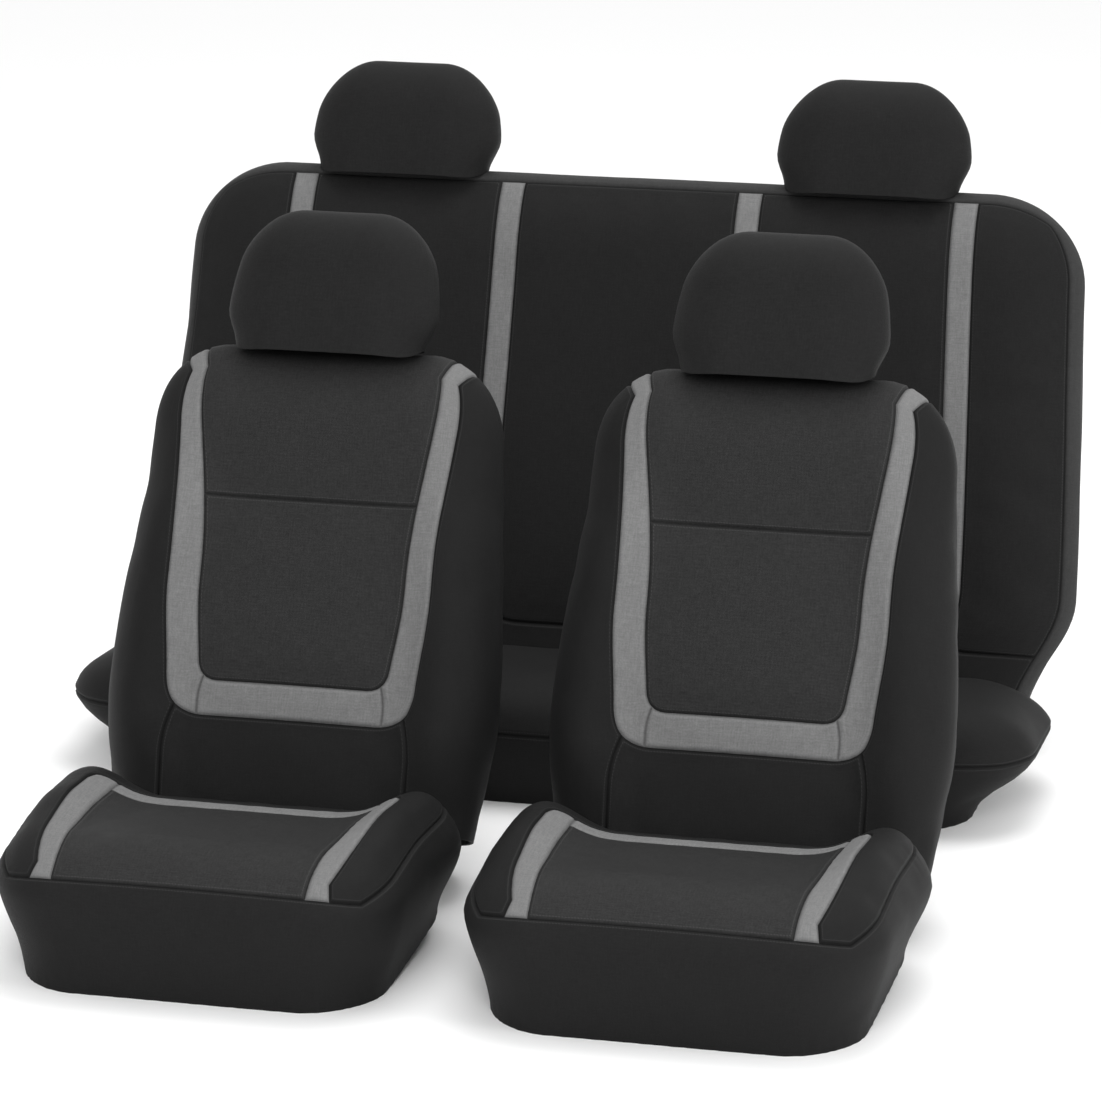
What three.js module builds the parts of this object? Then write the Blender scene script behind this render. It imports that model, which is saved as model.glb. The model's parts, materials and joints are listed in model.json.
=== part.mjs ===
// Seat cover set: covers for two front seats and one rear bench, with their headrest covers.
// Millimetres, +Z up, occupant side of every seat facing -Y, vehicle width along X.
// Every cover is a hollow shell sewn from panels; each panel is one closed body of its own.
import * as THREE from 'three';

// ---------------------------------------------------------------- cloth
const CLOTH = 3.6; // face cloth with its laminated foam
const SEAM = 0.5; // clearance between two panels at a stitched seam
const WEB = 1.8; // strap webbing thickness
const ELASTIC = 2.4; // gathered elastic band thickness
const DEG = Math.PI / 180;

// ---------------------------------------------------------------- front seat cushion cover
const CUSHION = {
  half: 278, front: -500, rear: -84, top: 190,
  roundX: 105, roundY: 112, roundZ: 66,
  seam: 158, // height of the skirt seam before it rises towards the rear
  trimX: 194, trimWidth: 38, trimY: -192, trimRearWidth: 36, cornerCut: 20, cornerReach: 30,
  drop: 26, bolster: 42, crown: 10, taper: 0.12, flare: 0.10, hemRise: 40, seamRise: 22,
  elasticLow: 2, elasticHigh: 17,
  strapWidth: 28, strapLift: 30,
};

// ---------------------------------------------------------------- front seat back cover
const BACK = {
  pivotY: 20, pivotZ: 95, recline: 23 * DEG,
  half: 272, front: -72, rear: 56, low: -20, top: 636,
  roundX: 118, roundY: 58, roundZ: 118,
  taperTop: 0.10, taperLow: 0.08, bolster: 34, lumbar: 14, curl: 24,
  heel: 60, // how much thicker the back grows towards its foot
  seamT: 421, barT: 142, barWidth: 48, trimWidth: 42,
  trimTop: 202, trimMid: 165, trimLow: 152,
  rearSeam: 34, topSeam: 6, cornerCut: 19, cornerReach: 29,
};

// ---------------------------------------------------------------- headrest covers
const HEAD = {
  half: 147, front: -58, rear: 56, top: 186, topRear: 160,
  roundX: 88, roundY: 54, roundZ: 82,
  lift: 3, ahead: -56, rearAhead: -16, taperTop: 0.13, taperLow: 0.10, seamY: 16,
  dip: 20, // how far the hem drops at the front
};

// ---------------------------------------------------------------- rear bench
const BENCH = {
  offsetY: 510.45, recline: 18 * DEG,
  half: 712, front: -56, rear: 52, low: -45, top: 728,
  roundX: 150, roundY: 48, roundZ: 132, taper: 0.03, taperLow: 0.09, curl: 8,
  trimOuter: 528, trimInner: 190, trimWidth: 37, barT: 60,
  frontSeam: -34, rearSeam: 32, headX: 364, cornerCut: 14, cornerReach: 22,
};
const BENCH_CUSHION = {
  half: 716, front: -440, rear: -84, top: 176,
  roundX: 130, roundY: 110, roundZ: 78,
  seam: 106, drop: 26, taper: 0.13, elasticLow: 2, elasticHigh: 17,
  strapX: 380, strapWidth: 28, strapLift: 26,
};
// The front pair against the bench: both are placed so the overall box is centred on the origin.
const FRONT = { spacing: 312, shiftX: 82, shiftY: -334.55 };

// ---------------------------------------------------------------- finishes
const cloth = (name, color) => new THREE.MeshStandardMaterial({ name, color, roughness: 0.95 });
const FINISH = {
  insert: cloth('insert_cloth', 0x4a4a4c),
  body: cloth('body_cloth', 0x343436),
  skirt: cloth('skirt_cloth', 0x3c3c3e),
  trim: cloth('trim_cloth', 0xb9b9b9),
  web: cloth('webbing', 0x1c1c1e),
  elastic: cloth('elastic_band', 0x232325),
  plastic: new THREE.MeshStandardMaterial({ name: 'buckle_plastic', color: 0x151516, roughness: 0.5 }),
};

// ---------------------------------------------------------------- small helpers
const clamp = (value, low, high) => Math.min(Math.max(value, low), high);
const mix = (a, b, k) => a + (b - a) * k;
function smooth(from, to, value) {
  const k = clamp((value - from) / (to - from), 0, 1);
  return k * k * (3 - 2 * k);
}
const bump = (value, centre, width) => Math.exp(-(((value - centre) / width) ** 2));

// ---------------------------------------------------------------- covers
// A cover is a rounded box, open underneath, whose skin is bent by `shape` and placed by `place`.
class Cover {
  constructor(size, shape, place, layout = (p) => p) {
    this.size = size;
    this.low = [-size.half, size.front, -Infinity];
    this.high = [size.half, size.rear, size.top];
    this.round = [size.roundX, size.roundY, size.roundZ];
    this.shape = shape;
    this.place = place;
    this.layout = layout;
  }

  skin(point, depth) {
    const p = this.layout(point);
    const core = p.map((v, i) => clamp(v, this.low[i] + this.round[i], this.high[i] - this.round[i]));
    const away = p.map((v, i) => (v - core[i]) / this.round[i]);
    const length = Math.hypot(...away);
    const round = core.map((v, i) => v + (away[i] / length) * (this.round[i] - depth));
    return this.place(this.shape(round));
  }
}

// Patches of the box a panel is cut from; lines may be numbers or functions of height.
const at = (line, t) => (typeof line === 'function' ? line(t) : line);
const faceFront = (size, xs, ts) => ({
  cols: xs.length, rows: ts.length, out: [0, -1, 0], point: (i, j) => [at(xs[i], ts[j]), size.front, ts[j]],
});
const faceRear = (size, xs, ts) => ({
  cols: xs.length, rows: ts.length, out: [0, 1, 0], point: (i, j) => [xs[i], size.rear, ts[j]],
});
const faceSide = (size, sign, ys, ts) => ({
  cols: ys.length, rows: ts.length, out: [sign, 0, 0], point: (i, j) => [sign * size.half, ys[i], ts[j]],
});
const faceTop = (size, xs, ys) => ({
  cols: xs.length, rows: ys.length, out: [0, 0, 1], point: (i, j) => [at(xs[i], size.top), ys[j], size.top],
});

// Weld patches into one sheet of quads that all wind outwards.
function weldPatches(patches) {
  const points = [];
  const quads = [];
  const index = new Map();
  const idOf = (p) => {
    const key = p.map((v) => Math.round(v * 100)).join();
    if (!index.has(key)) {
      index.set(key, points.length);
      points.push(p);
    }
    return index.get(key);
  };
  for (const patch of patches) {
    for (let i = 0; i + 1 < patch.cols; i += 1) {
      for (let j = 0; j + 1 < patch.rows; j += 1) {
        const quad = [[i, j], [i + 1, j], [i + 1, j + 1], [i, j + 1]].map(([a, b]) => idOf(patch.point(a, b)));
        const [a, b, , d] = quad.map((id) => new THREE.Vector3(...points[id]));
        const normal = b.sub(a).cross(d.sub(a));
        quads.push(normal.dot(new THREE.Vector3(...patch.out)) < 0 ? quad.reverse() : quad);
      }
    }
  }
  return { points, quads };
}

// Thicken a sheet: an outer skin, an inner skin and a rim along every free edge.
function thicken({ points, quads }, skin, outer, inner) {
  const count = points.length;
  const positions = [outer, inner].flatMap((depth) => points.map((p) => skin(p, depth))).flat();
  const edges = new Set(quads.flatMap((q) => q.map((a, k) => `${a},${q[(k + 1) % 4]}`)));
  const faces = [];
  const addQuad = (a, b, c, d) => faces.push(a, b, c, a, c, d);
  for (const quad of quads) {
    const [a, b, c, d] = quad;
    addQuad(a, b, c, d);
    addQuad(d + count, c + count, b + count, a + count);
    quad.forEach((from, k) => {
      const to = quad[(k + 1) % 4];
      if (!edges.has(`${to},${from}`)) addQuad(to, from, from + count, to + count);
    });
  }
  const geometry = new THREE.BufferGeometry();
  geometry.setAttribute('position', new THREE.Float32BufferAttribute(positions, 3));
  geometry.setIndex(faces);
  geometry.computeVertexNormals();
  return geometry;
}

const part = new THREE.Group();
part.name = 'seat_cover_set';

function addMesh(name, geometry, finish) {
  const mesh = new THREE.Mesh(geometry, finish);
  mesh.name = name;
  part.add(mesh);
}
function addPanel(name, cover, patches, finish, outer = 0, inner = CLOTH) {
  addMesh(name, thicken(weldPatches(patches), (p, depth) => cover.skin(p, depth), outer, inner), finish);
}
const GAP = SEAM / 2;
// The shared grid lines between two seams, with the seam clearance taken off both ends.
function between(lines, from, to) {
  return [from + GAP, ...lines.filter((v) => v > from + 1 && v < to - 1), to - GAP];
}

// ---------------------------------------------------------------- cushion covers
// Low front roll, raised side bolsters, a seat sloping down to the rear and a skirt drawn in at the hem.
function cushionShape([x, y, z]) {
  const size = CUSHION;
  const u = Math.abs(x) / size.half;
  const back = clamp((y - size.front) / (size.rear - size.front), 0, 1);
  const high = smooth(70, 180, z);
  const low = 1 - smooth(0, 150, z);
  const bolster = size.bolster * smooth(0.05, 0.55, back) * bump(u, 0.82, 0.2);
  const crown = size.crown * bump(back, 0.16, 0.16) * Math.max(1 - u * u, 0);
  const hem = size.hemRise * smooth(0.2, 1, back) * low;
  return [
    x * (1 - size.taper * low) * (1 + size.flare * (back - 0.4)),
    y + 22 * low * smooth(0.5, 0, back),
    z + (bolster + crown - size.drop * back) * high + hem,
  ];
}
// The skirt seam rises towards the rear, and the trim's rear corners are rounded on the top face.
function cushionLayout([x, y, z]) {
  const size = CUSHION;
  const back = clamp((y - size.front) / (size.rear - size.front), 0, 1);
  const rise = z + size.seamRise * back * bump(z, size.seam, 45);
  if (z < size.top) return [x, y, rise];
  const corner = size.trimX + size.trimWidth / 2;
  const rearOut = size.trimY + size.trimRearWidth / 2;
  const onTop = roundCorners([[-corner, -rearOut, 1], [corner, -rearOut, -1]], size.cornerCut, size.cornerReach);
  const [inward, , forward] = onTop([x, z, -y]);
  return [inward, -forward, rise];
}

function addCushionStrap(name, x, size, place, skinFront, skinRear) {
  const reach = (skinRear - skinFront) / 2;
  const middle = (skinRear + skinFront) / 2;
  const length = 2 * reach;
  const geometry = new THREE.BoxGeometry(size.strapWidth, length, WEB, 1, 12, 1);
  geometry.translate(x, middle, size.strapLift);
  const array = geometry.attributes.position;
  for (let i = 0; i < array.count; i += 1) {
    const k = (array.getY(i) - middle) / reach;
    const sag = 12 * (1 - k * k);
    const moved = place([array.getX(i), array.getY(i), array.getZ(i) - sag]);
    array.setXYZ(i, ...moved);
  }
  addMesh(name, geometry, FINISH.web);
}

function addBuckle(name, x, y, z, size, place) {
  const wide = size.strapWidth / 2 + 5;
  const long = 13;
  const shape = new THREE.Shape();
  shape.moveTo(-wide, -long);
  shape.lineTo(wide, -long);
  shape.lineTo(wide, long);
  shape.lineTo(-wide, long);
  shape.closePath();
  const slot = size.strapWidth / 2 + 0.8;
  for (const side of [-1, 1]) {
    const hole = new THREE.Path();
    const near = side * 2.5;
    const far = side * 9;
    hole.moveTo(-slot, near);
    hole.lineTo(-slot, far);
    hole.lineTo(slot, far);
    hole.lineTo(slot, near);
    hole.closePath();
    shape.holes.push(hole);
  }
  const geometry = new THREE.ExtrudeGeometry(shape, { depth: 3.2, bevelEnabled: false });
  geometry.translate(...place([x, y, z]));
  addMesh(name, geometry, FINISH.plastic);
}

function addFrontCushion(side, seatX) {
  const size = CUSHION;
  const place = ([x, y, z]) => [x + seatX, y + FRONT.shiftY, z];
  const cover = new Cover(size, cushionShape, place, cushionLayout);
  const name = (piece) => `front_${side}_cushion_${piece}`;
  const inner = size.trimX - size.trimWidth / 2;
  const outer = size.trimX + size.trimWidth / 2;
  const rearIn = size.trimY - size.trimRearWidth / 2;
  const rearOut = size.trimY + size.trimRearWidth / 2;
  const acrossX = [-size.half, -252, -outer, -inner, 0, inner, outer, 252, size.half];
  const alongY = [size.front, -452, -405, -335, -268, rearIn, rearOut, -128, size.rear];
  const rise = [size.seam + GAP, 174, size.top];
  const insertX = between(acrossX, -inner, inner);
  const front = alongY.filter((y) => y < rearIn);
  addPanel(name('insert'), cover, [
    faceFront(size, insertX, rise),
    faceTop(size, insertX, [...front, rearIn - GAP]),
  ], FINISH.insert);
  for (const [edge, sign] of [['left', -1], ['right', 1]]) {
    const strip = [sign * (inner + GAP), sign * (outer - GAP)];
    addPanel(name(`trim_${edge}`), cover, [
      faceFront(size, strip, rise),
      faceTop(size, strip, [...front, rearIn, rearOut - GAP]),
    ], FINISH.trim);
  }
  addPanel(name('trim_rear'), cover, [
    faceTop(size, insertX, [rearIn + GAP, rearOut - GAP]),
  ], FINISH.trim);
  const rearY = [rearOut + GAP, -128, size.rear];
  const sideY = [...front, rearIn, ...rearY];
  const flanks = [-1, 1].flatMap((sign) => {
    const flank = [sign * (outer + GAP), sign * 252, sign * size.half];
    return [
      faceFront(size, flank, rise),
      faceSide(size, sign, sideY, rise),
      faceTop(size, flank, sideY),
      faceRear(size, flank, rise),
    ];
  });
  const middle = [-outer - GAP, -inner, 0, inner, outer + GAP];
  addPanel(name('surround'), cover, [
    ...flanks,
    faceTop(size, middle, rearY),
    faceRear(size, middle, rise),
  ], FINISH.body);
  const ring = (xs, ys, levels) => [
    faceFront(size, xs, levels),
    faceRear(size, xs, levels),
    faceSide(size, -1, ys, levels),
    faceSide(size, 1, ys, levels),
  ];
  addPanel(name('skirt'), cover, ring(acrossX, alongY, [0, 62, 112, size.seam - GAP]), FINISH.skirt);
  const band = CLOTH + 2 * SEAM;
  const bandX = [-size.half, -outer, outer, size.half];
  const bandY = [size.front, -405, rearOut, size.rear];
  const levels = [size.elasticLow, size.elasticHigh];
  addPanel(name('elastic'), cover, ring(bandX, bandY, levels), FINISH.elastic, band, band + ELASTIC);
  const strapFront = size.front + 34;
  const strapRear = size.rear - 14;
  addCushionStrap(name('strap'), 0, size, place, strapFront, strapRear);
  const buckleZ = size.strapLift - 12 + WEB / 2 + SEAM;
  addBuckle(name('buckle'), 0, (strapFront + strapRear) / 2, buckleZ, size, place);
}

// ---------------------------------------------------------------- front back covers
function reclineAbout(angle, originX, originY) {
  const c = Math.cos(angle);
  const s = Math.sin(angle);
  return ([x, a, t]) => [
    originX + x, originY + BACK.pivotY + a * c + t * s, BACK.pivotZ - a * s + t * c,
  ];
}
const backTaper = (t) => 1 - BACK.taperTop * smooth(150, 560, t) - BACK.taperLow * smooth(160, -60, t);
function backShape([x, a, t]) {
  const size = BACK;
  const u = Math.abs(x) / size.half;
  const face = smooth(20, -60, a);
  const bolster = size.bolster * bump(u, 0.8, 0.2) * smooth(590, 330, t) * smooth(-60, 120, t);
  const lumbar = size.lumbar * bump(t, 170, 140) * Math.max(1 - (u / 0.6) ** 2, 0);
  const heel = size.heel * smooth(340, -20, t) * smooth(0, size.rear, a);
  const out = a - (bolster + lumbar) * face - size.curl * smooth(420, 640, t) + heel;
  return [x * backTaper(t), out, t];
}
function trimCentre(t) {
  const upper = mix(BACK.trimMid, BACK.trimTop, smooth(330, 680, t));
  return mix(BACK.trimLow, upper, smooth(BACK.barT, 300, t));
}
// Round the outer corners of the trim by drawing the seam crossing in towards the panel.
function roundCorners(corners, cut, reach) {
  return ([x, y, z]) => {
    const pull = corners.map(([cx, cz, dx]) => cut * bump(x, cx, reach) * bump(z, cz, reach) * dx);
    const shift = pull.reduce((sum, v) => sum + v, 0);
    const lift = pull.reduce((sum, v) => sum + Math.abs(v), 0);
    return [x + shift, y, z + lift];
  };
}

function addFrontBack(side, seatX) {
  const size = BACK;
  const line = (offset) => (t) => (trimCentre(t) + offset) / backTaper(t);
  const flip = (lineAt) => (t) => -lineAt(t);
  const blendLines = (low, high, k) => (t) => mix(low(t), high(t), k);
  const inner = (gap) => line(-size.trimWidth / 2 + gap);
  const outer = (gap) => line(size.trimWidth / 2 + gap);
  const barLow = size.barT - size.barWidth / 2;
  const barHigh = size.barT + size.barWidth / 2;
  const corner = outer(0)(barLow);
  const onFront = roundCorners([[-corner, barLow, 1], [corner, barLow, -1]], size.cornerCut, size.cornerReach);
  const layout = (p) => (p[1] > size.front ? p : onFront(p));
  const cover = new Cover(size, backShape, reclineAbout(size.recline, seatX, FRONT.shiftY), layout);
  const name = (piece) => `front_${side}_back_${piece}`;
  const heights = [size.low, 50, barLow, barHigh, 250, 340, size.seamT, 500, 560, 592, 616, size.top];
  const above = (from) => heights.filter((t) => t > from + 1);
  const over = [size.front, -44, -20, size.topSeam - GAP];
  const insert = [0, 0.25, 0.5, 0.75, 1].map((k) => blendLines(flip(inner(-GAP)), inner(-GAP), k));
  addPanel(name('insert_upper'), cover, [
    faceFront(size, insert, [size.seamT + GAP, ...above(size.seamT)]),
    faceTop(size, insert, over),
  ], FINISH.insert);
  addPanel(name('insert_lower'), cover, [
    faceFront(size, insert, between(heights, barHigh, size.seamT)),
  ], FINISH.insert);
  addPanel(name('trim_bottom'), cover, [
    faceFront(size, insert, [barLow + GAP, barHigh - GAP]),
  ], FINISH.trim);
  for (const [edge, sign] of [['left', -1], ['right', 1]]) {
    const mirror = (lineAt) => (sign < 0 ? flip(lineAt) : lineAt);
    const strip = [mirror(inner(GAP)), mirror(outer(-GAP))];
    addPanel(name(`trim_${edge}`), cover, [
      faceFront(size, strip, [barLow + GAP, ...above(barLow)]),
      faceTop(size, strip, over),
    ], FINISH.trim);
    const wall = () => sign * size.half;
    const flank = [0, 0.5, 1].map((k) => blendLines(mirror(outer(GAP)), wall, k));
    const deep = [size.front, -44, -20, size.topSeam, size.rearSeam - GAP];
    addPanel(name(`bolster_${edge}`), cover, [
      faceFront(size, flank, heights),
      faceSide(size, sign, deep, heights),
      faceTop(size, flank, deep),
    ], FINISH.body);
  }
  const middle = [0, 0.25, 0.5, 0.75, 1].map((k) => blendLines(flip(inner(0)), inner(0), k));
  addPanel(name('lower_panel'), cover, [
    faceFront(size, [flip(outer(-GAP)), ...middle, outer(-GAP)], [size.low, 50, barLow - GAP]),
  ], FINISH.body);
  const neck = outer(-GAP)(size.top);
  const shoulder = (outer(GAP)(size.top) + size.half) / 2;
  const tongue = [-neck, ...middle.map((lineAt) => lineAt(size.top)), neck];
  const wide = [-size.half, -shoulder, ...tongue, shoulder, size.half];
  const rearY = [size.rearSeam + GAP, 48, size.rear];
  addPanel(name('rear_panel'), cover, [
    faceRear(size, wide, heights),
    faceSide(size, -1, rearY, heights),
    faceSide(size, 1, rearY, heights),
    faceTop(size, wide, rearY),
    faceTop(size, tongue, [size.topSeam + GAP, size.rearSeam + GAP]),
  ], FINISH.body);
}

// ---------------------------------------------------------------- headrest covers
function headShape(size, lift, ahead, top) {
  return ([x, a, t]) => {
    const taper = 1 - size.taperTop * smooth(40, top, t) - size.taperLow * smooth(45, 0, t);
    const dip = size.dip * smooth(10, -50, a) * smooth(80, 0, t);
    return [x * taper, a + ahead + 0.06 * t, t + lift - dip];
  };
}
function addHeadrest(name, base, top, ahead, place) {
  const size = { ...HEAD, top, low: 0 };
  const cover = new Cover(size, headShape(size, base + size.lift, ahead, top), place);
  const edge = size.half - 34;
  const wide = [-size.half, -edge, -60, 0, 60, edge, size.half];
  const tall = [0, 34, 72, top - 66, top - 30, top];
  const before = [size.front, -34, -8, size.seamY - GAP];
  const behind = [size.seamY + GAP, size.rear];
  addPanel(`${name}_front`, cover, [
    faceFront(size, wide, tall),
    faceSide(size, -1, before, tall),
    faceSide(size, 1, before, tall),
    faceTop(size, wide, before),
  ], FINISH.insert);
  addPanel(`${name}_rear`, cover, [
    faceRear(size, wide, tall),
    faceSide(size, -1, behind, tall),
    faceSide(size, 1, behind, tall),
    faceTop(size, wide, behind),
  ], FINISH.body);
}

// ---------------------------------------------------------------- rear bench covers
const benchTaper = (t) => 1 - BENCH.taper * smooth(80, 700, t) - BENCH.taperLow * smooth(130, -45, t);
function benchShape([x, a, t]) {
  return [x * benchTaper(t), a - BENCH.curl * smooth(400, BENCH.top, t), t];
}
const shifted = (place, offset) => ([x, a, t]) => place([x + offset, a, t]);

function addBenchBack() {
  const size = BENCH;
  const half = size.trimWidth / 2;
  const [u0, u1] = [size.trimInner - half, size.trimInner + half];
  const [u2, u3] = [size.trimOuter - half, size.trimOuter + half];
  const barLow = size.barT - half;
  const barHigh = size.barT + half;
  const corners = [[-u3, barLow, 1], [-u0, barLow, -1], [u0, barLow, 1], [u3, barLow, -1]];
  const onFront = roundCorners(corners, size.cornerCut, size.cornerReach);
  const layout = (p) => (p[1] > size.front ? p : onFront(p));
  const place = reclineAbout(size.recline, 0, size.offsetY);
  const cover = new Cover(size, benchShape, place, layout);
  const name = (piece) => `bench_back_${piece}`;
  const right = [u0, u1, (u1 + u2) / 2, u2, u3, 612, 672, size.half];
  const acrossX = [...right.map((x) => -x).reverse(), 0, ...right];
  const heights = [size.low, barLow, barHigh, 220, 420, 612, 662, size.top];
  const above = (from) => heights.filter((t) => t > from + 1);
  const over = [size.front, size.frontSeam - GAP];
  for (const [edge, sign] of [['left', -1], ['right', 1]]) {
    const pick = (xs) => xs.map((x) => sign * x);
    const field = pick(between(right, u1, u2));
    addPanel(name(`insert_${edge}`), cover, [
      faceFront(size, field, [barHigh + GAP, ...above(barHigh)]),
      faceTop(size, field, over),
    ], FINISH.insert);
    const bar = [barLow + GAP, barHigh - GAP];
    const tall = [barHigh - GAP, ...above(barHigh)];
    const inside = pick([u0 + GAP, u1 - GAP]);
    const outside = pick([u2 + GAP, u3 - GAP]);
    addPanel(name(`trim_${edge}`), cover, [
      faceFront(size, [...inside, pick([right[2]])[0], ...outside], bar),
      faceFront(size, inside, tall),
      faceFront(size, outside, tall),
      faceTop(size, inside, over),
      faceTop(size, outside, over),
    ], FINISH.trim);
    const flank = pick([u3 + GAP, ...right.slice(5)]);
    const rise = [barLow + GAP, ...above(barLow)];
    addPanel(name(`panel_${edge}`), cover, [
      faceFront(size, flank, rise),
      faceSide(size, sign, over, rise),
      faceTop(size, flank, over),
    ], FINISH.body);
  }
  const centre = between(acrossX, -u0, u0);
  addPanel(name('panel_centre'), cover, [
    faceFront(size, centre, [barLow + GAP, ...above(barLow)]),
    faceTop(size, centre, over),
  ], FINISH.body);
  const foot = [size.low, barLow - GAP];
  addPanel(name('lower_panel'), cover, [
    faceFront(size, acrossX, foot),
    faceSide(size, -1, over, foot),
    faceSide(size, 1, over, foot),
  ], FINISH.body);
  const depth = [size.frontSeam + GAP, 0, size.rearSeam - GAP];
  addPanel(name('gusset'), cover, [
    faceSide(size, -1, depth, heights),
    faceSide(size, 1, depth, heights),
    faceTop(size, acrossX, depth),
  ], FINISH.skirt);
  const behind = [size.rearSeam + GAP, size.rear];
  addPanel(name('rear_panel'), cover, [
    faceRear(size, acrossX, heights),
    faceSide(size, -1, behind, heights),
    faceSide(size, 1, behind, heights),
    faceTop(size, acrossX, behind),
  ], FINISH.body);
  addHeadrest('bench_headrest_left', size.top, HEAD.topRear, HEAD.rearAhead, shifted(place, -size.headX));
  addHeadrest('bench_headrest_right', size.top, HEAD.topRear, HEAD.rearAhead, shifted(place, size.headX));
}
function benchCushionShape([x, y, z]) {
  const size = BENCH_CUSHION;
  const back = clamp((y - size.front) / (size.rear - size.front), 0, 1);
  const low = 1 - smooth(0, 110, z);
  return [x * (1 - size.taper * low), y + 16 * low * smooth(0.5, 0, back), z - size.drop * back * smooth(70, 160, z)];
}
function addBenchCushion() {
  const size = BENCH_CUSHION;
  const place = ([x, y, z]) => [x, y + BENCH.offsetY, z];
  const cover = new Cover(size, benchCushionShape, place);
  const name = (piece) => `bench_cushion_${piece}`;
  const acrossX = [-size.half, -660, -590, -300, 0, 300, 590, 660, size.half];
  const alongY = [size.front, -400, -340, -225, -130, size.rear];
  const ring = (xs, ys, levels) => [
    faceFront(size, xs, levels),
    faceRear(size, xs, levels),
    faceSide(size, -1, ys, levels),
    faceSide(size, 1, ys, levels),
  ];
  addPanel(name('top'), cover, [
    ...ring(acrossX, alongY, [size.seam + GAP, 120, 143, size.top]),
    faceTop(size, acrossX, alongY),
  ], FINISH.insert);
  addPanel(name('skirt'), cover, ring(acrossX, alongY, [0, 48, size.seam - GAP]), FINISH.skirt);
  const band = CLOTH + 2 * SEAM;
  const bandX = [-size.half, -590, 590, size.half];
  const bandY = [size.front, -340, -130, size.rear];
  const levels = [size.elasticLow, size.elasticHigh];
  addPanel(name('elastic'), cover, ring(bandX, bandY, levels), FINISH.elastic, band, band + ELASTIC);
  for (const [edge, sign] of [['left', -1], ['right', 1]]) {
    addCushionStrap(name(`strap_${edge}`), sign * size.strapX, size, place, size.front + 30, size.rear - 14);
  }
}

// ---------------------------------------------------------------- assembly
for (const [side, sign] of [['left', -1], ['right', 1]]) {
  const seatX = FRONT.shiftX + sign * FRONT.spacing;
  addFrontCushion(side, seatX);
  addFrontBack(side, seatX);
  const place = reclineAbout(BACK.recline, seatX, FRONT.shiftY);
  addHeadrest(`front_${side}_headrest`, BACK.top, HEAD.top, HEAD.ahead, place);
}
addBenchCushion();
addBenchBack();

export default part;
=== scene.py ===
import json
import logging
import math
from dataclasses import dataclass, field
from enum import Enum
from typing import Callable, Sequence

import bpy
import numpy as np
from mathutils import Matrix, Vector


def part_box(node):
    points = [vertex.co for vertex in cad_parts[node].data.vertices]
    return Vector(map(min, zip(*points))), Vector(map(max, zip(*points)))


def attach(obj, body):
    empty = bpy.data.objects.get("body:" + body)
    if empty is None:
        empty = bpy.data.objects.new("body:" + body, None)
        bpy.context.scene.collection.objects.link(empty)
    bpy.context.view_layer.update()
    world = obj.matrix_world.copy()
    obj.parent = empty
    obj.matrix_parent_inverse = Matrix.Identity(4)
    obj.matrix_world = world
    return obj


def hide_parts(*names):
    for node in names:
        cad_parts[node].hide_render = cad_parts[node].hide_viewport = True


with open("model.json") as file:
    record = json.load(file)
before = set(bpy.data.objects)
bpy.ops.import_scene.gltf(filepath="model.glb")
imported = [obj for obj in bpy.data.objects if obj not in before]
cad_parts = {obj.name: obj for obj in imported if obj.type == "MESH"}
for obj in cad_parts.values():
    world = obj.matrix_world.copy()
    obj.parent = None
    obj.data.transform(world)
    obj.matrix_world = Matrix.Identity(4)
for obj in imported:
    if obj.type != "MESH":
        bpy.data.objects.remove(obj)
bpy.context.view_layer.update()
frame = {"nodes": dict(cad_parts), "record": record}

LOG = logging.getLogger("seat_covers")
MM = 0.001
CLOTH = 3.6  # the cloth with its foam backing, in millimetres
SEAM_SHADE = 3.2  # how far a seam's shade reaches
STITCH_OFF, STITCH_PITCH = 4.6, 4.2  # where topstitching runs beside a seam, and its stitch length
UNSEWN = 40.0  # the seam distance of cloth with no seam near
SHARP = math.radians(60)

Array = np.ndarray
Socket = bpy.types.NodeSocket
Warp = Callable[[Array], Array]


# ---------------------------------------------------------------- small sums
def smooth(start: float, end: float, value: Array) -> Array:
    """Return the cubic step that rises from 0 at start to 1 at end."""
    k = np.clip((value - start) / (end - start), 0.0, 1.0)
    return k * k * (3 - 2 * k)


def bump(value: Array, centre: float, width: float) -> Array:
    """Return a bell curve of height 1 at centre."""
    return np.exp(-(((value - centre) / width) ** 2))


def unit(vectors: Array) -> Array:
    """Return the vectors scaled to length 1."""
    return vectors / np.maximum(np.linalg.norm(vectors, axis=-1, keepdims=True), 1e-9)


def ripple(points: Array, wave: float, seed: int) -> Array:
    """Return a wandering wave over the points, between about -1 and 1.

    Three sines of the position run in fixed, seeded directions, and their mean is taken.

    Args:
        points: positions in millimetres, one per row.
        wave: mean wavelength in millimetres.
        seed: picks the directions and phases.

    Returns:
        One value per point.
    """
    rng = np.random.default_rng(seed)
    total = np.zeros(len(points))
    for _ in range(3):
        way = unit(rng.normal(size=3)) * (2 * math.pi / (wave * rng.uniform(0.7, 1.4)))
        total += np.sin(points @ way + rng.uniform(0, 2 * math.pi))
    return total / 3


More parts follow.
